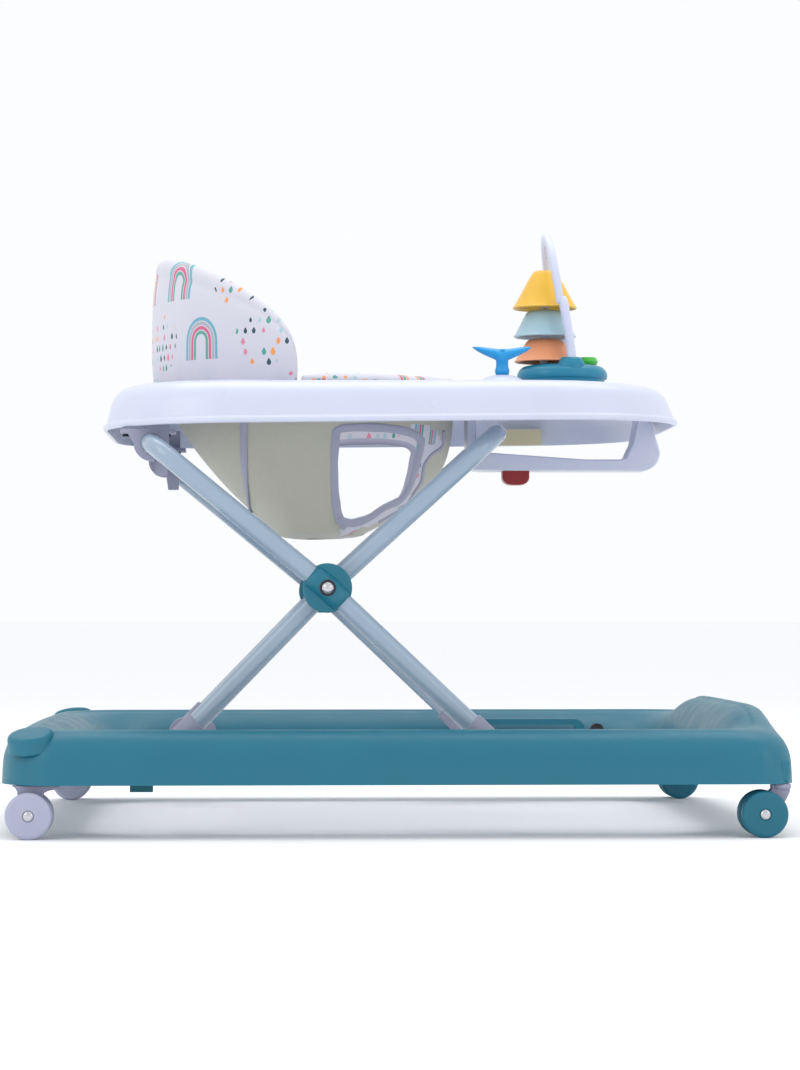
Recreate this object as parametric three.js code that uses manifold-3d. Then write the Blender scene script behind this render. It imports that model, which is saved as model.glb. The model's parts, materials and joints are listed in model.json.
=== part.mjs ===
// A folding baby walker: a moulded base ring on fixed rear wheels and front casters, a crossed pair of U-shaped
// tubes, and a moulded tray that carries a fabric seat with a padded back, a height rack and a toy set.
// Millimetres. +X is the front, +Y the left, +Z up; the origin is on the floor under the base's middle.
import * as THREE from "three";
import { mergeVertices } from "three/addons/utils/BufferGeometryUtils.js";
import Module from "manifold-3d";

const wasm = await Module();
wasm.setup();

// ---- driving dimensions ----
const GAP = 0.3; // between pieces that touch
const RUN = 0.4; // radial clearance of a running fit

const WHEEL_RADIUS = 20.5;
const WHEEL_THICKNESS = 11;
const WHEEL_GAP = 14; // between the two discs of a pair
const AXLE_RADIUS = 3;
const CASTER_TRAIL = 16;
const STEM_RADIUS = 6;

const BASE_HALF_LENGTH = 349;
const BASE_BOW = 6; // how far the middle of the front and the rear stands out
const BASE_HALF_WIDTH = 305;
const RAIL_WIDTH = 62;
const REAR_RAIL_WIDTH = 68;
const BASE_BOTTOM = 2 * WHEEL_RADIUS + 6;
const RIDGE_Z = BASE_BOTTOM + 48;
const HUMP = 18; // extra height of the front cross-member
const BASE_WALL = 3.2;
const FRONT_CORNER = 34;
const REAR_CORNER = 50;

const WHEEL_Y = BASE_HALF_WIDTH - 19;
const REAR_AXLE_X = -(BASE_HALF_LENGTH - 26);
const CASTER_X = BASE_HALF_LENGTH - 12;

const TUBE_RADIUS = 9;
const TUBE_WALL = 1.5;
const UPPER_TUBE_Y = BASE_HALF_WIDTH - RAIL_WIDTH - 31; // legs of the tube that carries the tray's rear
const LOWER_TUBE_Y = UPPER_TUBE_Y - 2 * TUBE_RADIUS - 4; // legs of the tube that stands on the rear feet
const ELBOW_RADIUS = 32;
const HUB_X = -61.5;
const PIVOT_Z = BASE_BOTTOM + 27.2; // height of the foot pins
const HUB_RISE = 145.6; // from the foot pins to the hub
const LOWER_TUBE_FOOT_ANGLE = 45.9; // degrees above the horizontal, below the hub
const LOWER_TUBE_TOP_ANGLE = 42.3; // the same, above the hub
const LOWER_TUBE_TOP_ARM = 212;
const UPPER_TUBE_FOOT_ANGLE = 43.4;
const UPPER_TUBE_TOP_ANGLE = 39.5;
const UPPER_TUBE_TOP_ARM = 208;
const FOLD_DEGREES = 32;
const UPPER_FOLD_SHARE = 0.94; // the upper tube turns back by this share of the lower tube's turn
const CAP_RADIUS = 22;
const RIVET_RADIUS = 4;
const PIN_RADIUS = 5;
const FOOT_START = 12; // how far above its pin a tube begins

const TRAY_HALF_LENGTH = 270;
const TRAY_HALF_WIDTH = UPPER_TUBE_Y + 13;
const TRAY_CORNER = 125;
const TRAY_TOP = PIVOT_Z + 335.8;
const TRAY_FLOOR = TRAY_TOP - 6;
const TRAY_WALL = 3;
const LIP_REAR_Z = TRAY_TOP - 43;
const LIP_FRONT_Z = TRAY_TOP - 37;
const SEAT_X = -88; // centre of the seat opening
const OPENING_REAR = 128;
const OPENING_FRONT = 156;
const OPENING_HALF_WIDTH = TRAY_HALF_WIDTH - 85;

const RACK_HALF_WIDTH = 22;
const RACK_BOTTOM = TRAY_TOP - 75;
const RACK_FRONT_X = TRAY_HALF_LENGTH - 6;
const BRACKET_POST = 31; // the rear bracket's height above the bar, under the tray's rounded corner
const BUTTON_X = 125;
const BUTTON_TRAVEL = 7;

const SEAT_BOTTOM = TRAY_TOP - 140;
const SEAT_CLOTH = 3.5;
const BACK_HIGH = TRAY_TOP + 129;
const BACK_LOW = TRAY_TOP + 24;
const BACK_THICKNESS = 26;

const TOY_X = 171;
const TOY_RADIUS = 44;
const TOY_TOP = TRAY_TOP + 30;
const ROD_X = 154;
const ROD_RADIUS = 5;
const ARCH_TOP = TOY_TOP + 128;
const CUP_WALL = 3;
const SPINDLE_HOLD = 14; // depth of the closed cup's grip on the rod

// ---- materials ----
const plastic = (color, roughness) => new THREE.MeshStandardMaterial({ color, roughness, metalness: 0 });
const metal = (color, roughness) => new THREE.MeshStandardMaterial({ color, roughness, metalness: 1 });
const TEAL = plastic(0x1f8a9c, 0.45);
const TEAL_TOY = plastic(0x1b9a98, 0.4);
const GREY = plastic(0xb9bac4, 0.5);
const WHITE = plastic(0xf2f2f6, 0.35);
const PAINT = plastic(0xc3d0dc, 0.2);
const STEEL = metal(0xc8c8cc, 0.3);
const BLACK = plastic(0x202226, 0.8);
const DARK_TEAL = plastic(0x14606c, 0.8);
const RED = plastic(0xb51222, 0.35);
const CREAM = plastic(0xf1ecd8, 0.9);
const BEIGE = plastic(0xb9b08d, 0.7);
const YELLOW = plastic(0xf4c733, 0.4);
const MINT = plastic(0xa9d5c8, 0.4);
const ORANGE = plastic(0xf09a5b, 0.4);
const GREEN = plastic(0x3fae6a, 0.4);
const BLUE = plastic(0x2f9be0, 0.35);

// ---- geometry helpers ----
const rad = (degrees) => (degrees * Math.PI) / 180;
const mix = (a, b, t) => a + (b - a) * t;
const smooth = (low, high, x) => {
  const t = Math.min(Math.max((x - low) / (high - low), 0), 1);
  return t * t * (3 - 2 * t);
};

// The point that lies an arm's length from start, at an angle above the +X direction in the XZ plane.
const armEnd = (start, length, degrees) => ({
  x: start.x + length * Math.cos(rad(degrees)),
  z: start.z + length * Math.sin(rad(degrees)),
});

function solid(geometry) {
  const bare = geometry.clone();
  bare.deleteAttribute("normal");
  bare.deleteAttribute("uv");
  const merged = mergeVertices(bare, 1e-3);
  const triVerts = new Uint32Array(merged.index.array);
  const vertProperties = new Float32Array(merged.attributes.position.array);
  return new wasm.Manifold(new wasm.Mesh({ numProp: 3, vertProperties, triVerts }));
}

function geometryOf(manifold) {
  const mesh = manifold.getMesh();
  const geometry = new THREE.BufferGeometry();
  geometry.setAttribute("position", new THREE.BufferAttribute(new Float32Array(mesh.vertProperties), 3));
  geometry.setIndex(new THREE.BufferAttribute(new Uint32Array(mesh.triVerts), 1));
  geometry.computeVertexNormals();
  return geometry;
}

const joined = (first, ...rest) => geometryOf(rest.reduce((all, one) => all.add(solid(one)), solid(first)));
const cut = (first, ...rest) => geometryOf(rest.reduce((all, one) => all.subtract(solid(one)), solid(first)));

// A closed surface through rings of points; every ring has the same number of points.
// With cap false the last ring joins the first, as in a tyre; with cap true the two end rings are filled.
function loft(rings, cap) {
  const count = rings[0].length;
  const points = rings.flat();
  const faces = [];
  const bands = cap ? rings.length - 1 : rings.length;
  for (let band = 0; band < bands; band += 1) {
    const here = band * count;
    const next = ((band + 1) % rings.length) * count;
    for (let i = 0; i < count; i += 1) {
      const j = (i + 1) % count;
      faces.push(here + i, here + j, next + j, here + i, next + j, next + i);
    }
  }
  if (cap) {
    [0, rings.length - 1].forEach((ring) => {
      const centre = new THREE.Vector3();
      rings[ring].forEach((point) => centre.add(point));
      points.push(centre.divideScalar(count));
      const hub = points.length - 1;
      for (let i = 0; i < count; i += 1) {
        const j = (i + 1) % count;
        const pair = ring === 0 ? [j, i] : [i, j];
        faces.push(hub, ring * count + pair[0], ring * count + pair[1]);
      }
    });
  }
  const geometry = new THREE.BufferGeometry().setFromPoints(points);
  geometry.setIndex(faces);
  geometry.computeVertexNormals();
  return geometry;
}

function box(low, high) {
  const geometry = new THREE.BoxGeometry(high[0] - low[0], high[1] - low[1], high[2] - low[2]);
  return geometry.translate((low[0] + high[0]) / 2, (low[1] + high[1]) / 2, (low[2] + high[2]) / 2);
}

// A cylinder whose axis runs along Y, from y0 to y1.
function rodY(radius, x, z, y0, y1, sides = 14) {
  const geometry = new THREE.CylinderGeometry(radius, radius, Math.abs(y1 - y0), sides);
  return geometry.translate(x, (y0 + y1) / 2, z);
}

function rodZ(radius, x, y, z0, z1, sides = 14) {
  const geometry = new THREE.CylinderGeometry(radius, radius, z1 - z0, sides);
  return geometry.rotateX(Math.PI / 2).translate(x, y, (z0 + z1) / 2);
}

// A shape drawn in the XZ plane, made thick along Y from y0 to y1.
function plateY(shape, y0, y1, curveSegments = 6) {
  const low = Math.min(y0, y1);
  const depth = Math.abs(y1 - y0);
  const geometry = new THREE.ExtrudeGeometry(shape, { depth, bevelEnabled: false, curveSegments });
  return geometry.rotateX(Math.PI / 2).translate(0, low + depth, 0);
}

function outline(points) {
  return new THREE.Shape(points.map(([x, z]) => new THREE.Vector2(x, z)));
}

// A round shape that fits between two pins: two half circles and their tangents.
function slotShape(x0, x1, z, radius) {
  const shape = new THREE.Shape();
  shape.absarc(x1, z, radius, -Math.PI / 2, Math.PI / 2, false);
  shape.absarc(x0, z, radius, Math.PI / 2, (3 * Math.PI) / 2, false);
  return shape;
}

// A curve that runs straight from point to point, one step to each.
class Route extends THREE.Curve {
  constructor(points) {
    super();
    this.points = points;
  }

  getPoint(t, target = new THREE.Vector3()) {
    const place = Math.min(Math.max(t, 0), 1) * (this.points.length - 1);
    const index = Math.min(Math.floor(place), this.points.length - 2);
    return target.lerpVectors(this.points[index], this.points[index + 1], place - index);
  }

  getUtoTmapping(u) {
    return u;
  }
}

function tubeAlong(points, radius, wall, sides) {
  const section = new THREE.Shape();
  section.absarc(0, 0, radius, 0, 2 * Math.PI, false);
  if (wall > 0) {
    const hole = new THREE.Path();
    hole.absarc(0, 0, radius - wall, 0, 2 * Math.PI, true);
    section.holes.push(hole);
  }
  const options = { steps: points.length - 1, extrudePath: new Route(points), curveSegments: sides };
  return new THREE.ExtrudeGeometry(section, { ...options, bevelEnabled: false });
}

// ---- where the mechanism's points are ----
const HUB = { x: HUB_X, z: PIVOT_Z + HUB_RISE };
const lowerFootArm = HUB_RISE / Math.sin(rad(LOWER_TUBE_FOOT_ANGLE));
const upperFootArm = HUB_RISE / Math.sin(rad(UPPER_TUBE_FOOT_ANGLE));
const LOWER_FOOT = armEnd(HUB, lowerFootArm, 180 + LOWER_TUBE_FOOT_ANGLE);
const UPPER_FOOT = armEnd(HUB, upperFootArm, -UPPER_TUBE_FOOT_ANGLE);
const LOWER_TOP = armEnd(HUB, LOWER_TUBE_TOP_ARM, LOWER_TUBE_TOP_ANGLE);
const UPPER_TOP = armEnd(HUB, UPPER_TUBE_TOP_ARM, 180 - UPPER_TUBE_TOP_ANGLE);

// Where the sliding foot and the sliding top bar are when the frame is folded by an angle.
function folded(degrees) {
  const hub = armEnd(LOWER_FOOT, lowerFootArm, LOWER_TUBE_FOOT_ANGLE - degrees);
  const back = UPPER_FOLD_SHARE * degrees;
  const foot = armEnd(hub, upperFootArm, -(UPPER_TUBE_FOOT_ANGLE - back));
  const rear = armEnd(hub, UPPER_TUBE_TOP_ARM, 180 - (UPPER_TUBE_TOP_ANGLE - back));
  const front = armEnd(hub, LOWER_TUBE_TOP_ARM, LOWER_TUBE_TOP_ANGLE - degrees);
  const bar = { x: UPPER_TOP.x + front.x - rear.x, z: UPPER_TOP.z + front.z - rear.z };
  return { foot, bar };
}
const FOLDED = folded(FOLD_DEGREES);

// ---- base ----
// A rounded rectangle as points: side and corner points keep their order, so outlines nest inside each other.
function roundedRing({ rear, front, half, rearCorner, frontCorner, bow }, z) {
  const sideSteps = 6;
  const cornerSteps = 4;
  const points = [];
  const corners = [
    { x: front, y: half, r: frontCorner, start: 0 },
    { x: -rear, y: half, r: rearCorner, start: 90 },
    { x: -rear, y: -half, r: rearCorner, start: 180 },
    { x: front, y: -half, r: frontCorner, start: 270 },
  ];
  corners.forEach((corner, index) => {
    const cx = corner.x - Math.sign(corner.x) * corner.r;
    const cy = corner.y - Math.sign(corner.y) * corner.r;
    for (let step = 0; step <= cornerSteps; step += 1) {
      const angle = rad(corner.start + (90 * step) / cornerSteps);
      points.push([cx + corner.r * Math.cos(angle), cy + corner.r * Math.sin(angle)]);
    }
    const last = points[points.length - 1];
    const next = corners[(index + 1) % 4];
    const turn = rad(next.start);
    const nx = next.x - Math.sign(next.x) * next.r + next.r * Math.cos(turn);
    const ny = next.y - Math.sign(next.y) * next.r + next.r * Math.sin(turn);
    for (let step = 1; step < sideSteps; step += 1) {
      points.push([mix(last[0], nx, step / sideSteps), mix(last[1], ny, step / sideSteps)]);
    }
  });
  return points.map(([x, y]) => {
    const spread = Math.max(1 - (y / half) ** 2, 0);
    const bulge = Math.abs(x) > Math.min(rear, front) - 1 ? Math.sign(x) * bow * spread : 0;
    return new THREE.Vector3(x + bulge, y, typeof z === "function" ? z(x, y) : z);
  });
}

const ridgeAt = (x, y) =>
  RIDGE_Z + HUMP * smooth(205, 318, x) * smooth(BASE_HALF_WIDTH - 40, BASE_HALF_WIDTH - 150, Math.abs(y));

function baseShell() {
  const outer = (inset, z) => roundedRing({
    rear: BASE_HALF_LENGTH - inset,
    front: BASE_HALF_LENGTH - inset,
    half: BASE_HALF_WIDTH - inset,
    rearCorner: Math.max(REAR_CORNER - inset * 0.2, 8),
    frontCorner: Math.max(FRONT_CORNER + inset * 0.2, 8),
    bow: BASE_BOW,
  }, z);
  const over = (share, z) => roundedRing({
    rear: BASE_HALF_LENGTH - mix(0, REAR_RAIL_WIDTH, share),
    front: BASE_HALF_LENGTH - mix(0, RAIL_WIDTH, share),
    half: BASE_HALF_WIDTH - mix(0, RAIL_WIDTH, share),
    rearCorner: mix(REAR_CORNER, REAR_CORNER + 10, share),
    frontCorner: mix(FRONT_CORNER, FRONT_CORNER + 26, share),
    bow: BASE_BOW,
  }, z);
  const ridge = (drop) => (x, y) => ridgeAt(x, y) - drop;
  const inside = 1 - BASE_WALL / RAIL_WIDTH;
  const rings = [
    outer(0, BASE_BOTTOM),
    outer(1, BASE_BOTTOM + 22),
    outer(5, RIDGE_Z - 13),
    over(0.2, ridge(4)),
    over(0.38, ridge(0)),
    over(0.56, ridge(2)),
    over(0.74, ridge(9)),
    over(0.9, ridge(20)),
    over(1, RIDGE_Z - 33),
    over(1, BASE_BOTTOM),
    over(inside, BASE_BOTTOM),
    over(inside, RIDGE_Z - 36),
    over(0.84, ridge(20 + BASE_WALL)),
    over(0.7, ridge(10 + BASE_WALL)),
    over(0.54, ridge(3 + BASE_WALL)),
    over(0.38, ridge(BASE_WALL)),
    over(0.25, ridge(4 + BASE_WALL)),
    outer(9, RIDGE_Z - 16),
    outer(BASE_WALL + 1, BASE_BOTTOM + 20),
    outer(BASE_WALL, BASE_BOTTOM),
  ];
  let shell = solid(loft(rings, false));
  [-1, 1].forEach((side) => {
    const y = side * WHEEL_Y;
    const socket = rodZ(STEM_RADIUS + 3, CASTER_X, y, BASE_BOTTOM + 1, BASE_BOTTOM + 20);
    const bore = rodZ(STEM_RADIUS + RUN, CASTER_X, y, BASE_BOTTOM - 1, BASE_BOTTOM + 21);
    const web = box([CASTER_X - 34, y - 2, BASE_BOTTOM + 4], [CASTER_X, y + 2, BASE_BOTTOM + 36]);
    const shelf = box([REAR_AXLE_X - 14, y - 12, BASE_BOTTOM], [REAR_AXLE_X + 28, y + 12, BASE_BOTTOM + 3]);
    const shelfWeb = box([REAR_AXLE_X - 2, y - 8, BASE_BOTTOM], [REAR_AXLE_X + 2, y + 8, BASE_BOTTOM + 36]);
    shell = shell.add(solid(web)).add(solid(socket)).subtract(solid(bore));
    shell = shell.add(solid(shelf)).add(solid(shelfWeb));
  });
  return geometryOf(shell);
}

const RAIL_INNER_Y = BASE_HALF_WIDTH - RAIL_WIDTH;

function rearFootBracket(side) {
  const plateY0 = RAIL_INNER_Y - GAP;
  const plate = plateY(slotShape(LOWER_FOOT.x - 2, LOWER_FOOT.x + 18, PIVOT_Z - 2, 15), side * (plateY0 - 6),
    side * plateY0);
  const boss = rodY(11, LOWER_FOOT.x, PIVOT_Z, side * (LOWER_TUBE_Y + TUBE_RADIUS + 3), side * (plateY0 - 1));
  const pin = rodY(PIN_RADIUS, LOWER_FOOT.x, PIVOT_Z, side * (LOWER_TUBE_Y - 11), side * (plateY0 - 2));
  return joined(plate, boss, pin);
}

function frontFootTrack(side) {
  const plateY0 = RAIL_INNER_Y - GAP;
  const slack = PIN_RADIUS + 2 * RUN;
  const body = plateY(slotShape(UPPER_FOOT.x - 4, FOLDED.foot.x + 4, PIVOT_Z, slack + 6), side * (plateY0 - 10),
    side * plateY0);
  const slot = plateY(slotShape(UPPER_FOOT.x - RUN, FOLDED.foot.x + RUN, PIVOT_Z, slack), side * (plateY0 - 20),
    side * (plateY0 + 10));
  return cut(body, slot);
}

function trackBumper(side) {
  const x = FOLDED.foot.x + PIN_RADIUS + 24;
  return rodY(7, x, PIVOT_Z, side * (RAIL_INNER_Y - 9), side * (RAIL_INNER_Y - GAP));
}

function stopper(side) {
  const y = side * (BASE_HALF_WIDTH - RAIL_WIDTH / 2);
  const foot = box([-236, y - 5, BASE_BOTTOM - 7], [-216, y + 5, BASE_BOTTOM + 7]);
  const stem = box([-231, y - 3, BASE_BOTTOM + 6], [-221, y + 3, RIDGE_Z - BASE_WALL - 4]);
  return joined(foot, stem);
}

// ---- wheels ----
function wheelDisc(faceSide) {
  const half = WHEEL_THICKNESS / 2;
  const bore = AXLE_RADIUS + GAP;
  const profile = [
    [bore, -half],
    [WHEEL_RADIUS - 2, -half],
    [WHEEL_RADIUS, -half + 2],
    [WHEEL_RADIUS, half - 2.5],
    [WHEEL_RADIUS - 2.5, half],
    [WHEEL_RADIUS - 7, half - 1],
    [bore, half - 0.6],
    [bore, -half],
  ];
  const geometry = new THREE.LatheGeometry(profile.map(([r, y]) => new THREE.Vector2(r, y)), 16);
  return faceSide > 0 ? geometry : geometry.rotateX(Math.PI);
}

const DISC_OFFSET = (WHEEL_GAP + WHEEL_THICKNESS) / 2;

function axle(faceSide) {
  const half = WHEEL_GAP / 2 + WHEEL_THICKNESS + 0.2;
  const profile = [
    [0, -half], [AXLE_RADIUS, -half], [AXLE_RADIUS, half], [AXLE_RADIUS - 1, half + 0.8], [0, half + 1],
  ];
  const geometry = new THREE.LatheGeometry(profile.map(([r, y]) => new THREE.Vector2(r, y)), 10);
  return faceSide > 0 ? geometry : geometry.rotateX(Math.PI);
}

function rearWheelBracket() {
  const top = BASE_BOTTOM - WHEEL_RADIUS - 0.5;
  const shape = new THREE.Shape();
  shape.moveTo(-12, top);
  shape.lineTo(-11, top - 6);
  shape.lineTo(-9, 8);
  shape.absarc(0, 0, 9, Math.PI, 2 * Math.PI, false);
  shape.lineTo(9.5, 8);
  shape.lineTo(12, top - 6);
  shape.lineTo(24, top - 4);
  shape.lineTo(27, top);
  const hole = new THREE.Path();
  hole.absarc(0, 0, AXLE_RADIUS + RUN, 0, 2 * Math.PI, true);
  shape.holes.push(hole);
  return plateY(shape, -WHEEL_GAP / 2 + 1, WHEEL_GAP / 2 - 1, 5);
}

function casterFork() {
  const top = BASE_BOTTOM - GAP - WHEEL_RADIUS;
  const shape = new THREE.Shape();
  shape.moveTo(CASTER_TRAIL - 8, top);
  shape.lineTo(CASTER_TRAIL - 9, 21);
  shape.lineTo(-3, 14);
  shape.lineTo(-9, 4);
  shape.absarc(0, 0, 9, Math.PI, 2 * Math.PI, false);
  shape.lineTo(13, 6);
  shape.lineTo(CASTER_TRAIL + 6, 16);
  shape.lineTo(CASTER_TRAIL + 8, top);
  const hole = new THREE.Path();
  hole.absarc(0, 0, AXLE_RADIUS + RUN, 0, 2 * Math.PI, true);
  shape.holes.push(hole);
  const yoke = plateY(shape, -WHEEL_GAP / 2 + 1, WHEEL_GAP / 2 - 1, 10);
  const stem = rodZ(STEM_RADIUS, CASTER_TRAIL, 0, top - 4, BASE_BOTTOM + 18 - WHEEL_RADIUS);
  const collar = rodZ(STEM_RADIUS + 3, CASTER_TRAIL, 0, top - 3, top);
  return joined(yoke, stem, collar);
}

// ---- X-frame ----
// One U-shaped tube: foot, hub bend, elbow, top bar, and the same down the other side.
function uTube(foot, top, legY) {
  const hub = new THREE.Vector3(HUB.x, 0, HUB.z);
  const footPoint = new THREE.Vector3(foot.x, 0, foot.z);
  const topPoint = new THREE.Vector3(top.x, 0, top.z);
  const down = hub.clone().sub(topPoint).normalize();
  const elbowSteps = 5;
  const half = [footPoint, hub].map((point) => point.clone().setY(-legY));
  for (let step = 0; step <= elbowSteps; step += 1) {
    const angle = rad((90 * step) / elbowSteps);
    const drop = ELBOW_RADIUS * (1 - Math.sin(angle));
    const point = topPoint.clone().addScaledVector(down, drop);
    half.push(point.setY(-(legY - ELBOW_RADIUS + ELBOW_RADIUS * Math.cos(angle))));
  }
  const mirrored = half.map((point) => point.clone().setY(-point.y)).reverse();
  return tubeAlong([...half, ...mirrored], TUBE_RADIUS, TUBE_WALL, 6);
}

function drilledTube(foot, top, legY) {
  const drills = [-1, 1].map((side) =>
    rodY(RIVET_RADIUS + RUN, HUB.x, HUB.z, side * (legY - 14), side * (legY + 14), 12));
  return cut(uTube(foot, top, legY), ...drills);
}

// A solid bar that follows a leg through the hub, used to shape what grips the tube.
function legBar(foot, top, legY, radius, reach) {
  const hub = new THREE.Vector3(HUB.x, legY, HUB.z);
  const ends = [foot, top].map((end) => {
    const way = new THREE.Vector3(end.x, legY, end.z).sub(hub).setLength(reach);
    return hub.clone().add(way);
  });
  return tubeAlong([ends[0], hub, ends[1]], radius, 0, 6);
}

// A round cap moulded over a tube at the hub: a disc, a half-round swelling over the tube, and the tube's bore.
function hubCap(side, legY, faceY, backY, foot, top) {
  const y = side * legY;
  const outward = Math.sign(faceY - legY);
  const disc = rodY(CAP_RADIUS, HUB.x, HUB.z, side * backY, side * faceY, 20);
  const swellLimit = rodY(CAP_RADIUS - 0.4, HUB.x, HUB.z, side * backY, side * (legY + outward * 13), 20);
  const swell = solid(legBar(foot, top, y, TUBE_RADIUS + 3.4, 40)).intersect(solid(swellLimit));
  const drillFar = side * (faceY + outward * 20);
  const drill = rodY(RIVET_RADIUS + RUN, HUB.x, HUB.z, side * (backY - outward * 4), drillFar, 12);
  const cap = solid(disc).add(swell).subtract(solid(legBar(foot, top, y, TUBE_RADIUS + GAP, 60)));
  return geometryOf(cap.subtract(solid(drill)));
}

const CAP_MEET_Y = (UPPER_TUBE_Y + LOWER_TUBE_Y) / 2;
const outerCap = (side) =>
  hubCap(side, UPPER_TUBE_Y, UPPER_TUBE_Y + 5, CAP_MEET_Y + GAP, UPPER_FOOT, UPPER_TOP);
const innerCap = (side) =>
  hubCap(side, LOWER_TUBE_Y, LOWER_TUBE_Y - 5, CAP_MEET_Y - GAP, LOWER_FOOT, LOWER_TOP);

function hubRivet(side) {
  const inner = side * (LOWER_TUBE_Y - 13 - GAP);
  const outer = side * (UPPER_TUBE_Y + 13 + GAP);
  const shaft = rodY(RIVET_RADIUS, HUB.x, HUB.z, inner - side, outer + side, 12);
  const heads = [[inner, -side], [outer, side]].map(([y, way]) => {
    const profile = [[0, 0], [5.6, 0], [5.2, 1.2], [3.4, 2.3], [0, 2.8]];
    const head = new THREE.LatheGeometry(profile.map(([r, h]) => new THREE.Vector2(r, h)), 14);
    return (way < 0 ? head.rotateX(Math.PI) : head).translate(HUB.x, y, HUB.z);
  });
  return joined(shaft, ...heads);
}

// The moulded knuckle on a tube's lower end; the tube stops in its blind bore.
function knuckle(side, foot, legY, width, pinY) {
  const y = side * legY;
  const body = rodY(15, foot.x, foot.z, y - width / 2, y + width / 2, 16);
  const start = new THREE.Vector3(foot.x, y, foot.z);
  const way = new THREE.Vector3(HUB.x, y, HUB.z).sub(start).normalize();
  const at = (distance) => start.clone().addScaledVector(way, distance);
  const sleeve = tubeAlong([at(0), at(34)], TUBE_RADIUS + 2.4, 0, 6);
  const bore = tubeAlong([at(FOOT_START - GAP), at(60)], TUBE_RADIUS + GAP, 0, 6);
  let piece = solid(body).add(solid(sleeve)).subtract(solid(bore));
  if (pinY) {
    const pin = rodY(PIN_RADIUS, foot.x, foot.z, side * (legY + width / 2 - 2), side * pinY);
    piece = piece.add(solid(pin));
  } else {
    const eye = rodY(PIN_RADIUS + RUN, foot.x, foot.z, y - width, y + width);
    piece = piece.subtract(solid(eye));
  }
  return geometryOf(piece);
}

const tubeStart = (foot) => {
  const way = Math.hypot(HUB.x - foot.x, HUB.z - foot.z);
  const share = FOOT_START / way;
  return { x: mix(foot.x, HUB.x, share), z: mix(foot.z, HUB.z, share) };
};

const lowerTube = () => drilledTube(tubeStart(LOWER_FOOT), LOWER_TOP, LOWER_TUBE_Y);
const upperTube = () => drilledTube(tubeStart(UPPER_FOOT), UPPER_TOP, UPPER_TUBE_Y);

// ---- tray ----
const lipAt = (x) => mix(LIP_REAR_Z, LIP_FRONT_Z, (x + TRAY_HALF_LENGTH) / (2 * TRAY_HALF_LENGTH));

// The direction of a ray from the seat opening's centre sets where each ring crosses it.
const TRAY_STEPS = 40;
function openingPoint(angle, grow) {
  const reach = Math.cos(angle) > 0 ? OPENING_FRONT : OPENING_REAR;
  const x = SEAT_X + (reach + grow) * Math.cos(angle);
  return new THREE.Vector2(x, (OPENING_HALF_WIDTH + grow) * Math.sin(angle));
}

function trayOutline() {
  const shape = new THREE.Shape();
  const x = TRAY_HALF_LENGTH - TRAY_CORNER;
  const y = TRAY_HALF_WIDTH - TRAY_CORNER;
  shape.absarc(x, y, TRAY_CORNER, 0, Math.PI / 2, false);
  shape.absarc(-x, y, TRAY_CORNER, Math.PI / 2, Math.PI, false);
  shape.absarc(-x, -y, TRAY_CORNER, Math.PI, 1.5 * Math.PI, false);
  shape.absarc(x, -y, TRAY_CORNER, 1.5 * Math.PI, 2 * Math.PI, false);
  return shape.getSpacedPoints(4 * TRAY_STEPS);
}
const TRAY_PLAN = trayOutline();

// The tray's edge seen from the opening's centre in a direction.
function trayEdge(angle) {
  const wanted = new THREE.Vector2(Math.cos(angle), Math.sin(angle));
  const fromSeat = (point) => new THREE.Vector2(point.x - SEAT_X, point.y);
  for (let index = 0; index < TRAY_PLAN.length; index += 1) {
    const point = TRAY_PLAN[index];
    const next = TRAY_PLAN[(index + 1) % TRAY_PLAN.length];
    const crossA = wanted.cross(fromSeat(point));
    const crossB = wanted.cross(fromSeat(next));
    if (fromSeat(point).dot(wanted) > 0 && crossA * crossB <= 0 && crossA !== crossB) {
      const share = crossA / (crossA - crossB);
      return new THREE.Vector2(mix(point.x, next.x, share), mix(point.y, next.y, share));
    }
  }
  return TRAY_PLAN[0];
}

// Ring directions: closer together towards the front, where the tray reaches further from the opening's centre.
const TRAY_ANGLES = Array.from({ length: TRAY_STEPS }, (_, i) => {
  const even = (2 * Math.PI * i) / TRAY_STEPS;
  return even - 0.28 * Math.sin(even);
});
const TRAY_EDGES = TRAY_ANGLES.map(trayEdge);

// A ring at an inset from the tray's edge, no further than a share of the way to the opening.
function trayRing(inset, share, z) {
  return TRAY_ANGLES.map((angle, i) => {
    const edge = TRAY_EDGES[i];
    const opening = openingPoint(angle, 0);
    const gap = edge.distanceTo(opening);
    const t = Math.min(inset, gap * share) / gap;
    const x = mix(edge.x, opening.x, t);
    const y = mix(edge.y, opening.y, t);
    return new THREE.Vector3(x, y, typeof z === "function" ? z(x) : z);
  });
}

function openingRing(grow, z) {
  return TRAY_ANGLES.map((angle) => {
    const point = openingPoint(angle, grow);
    return new THREE.Vector3(point.x, point.y, z);
  });
}

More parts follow.
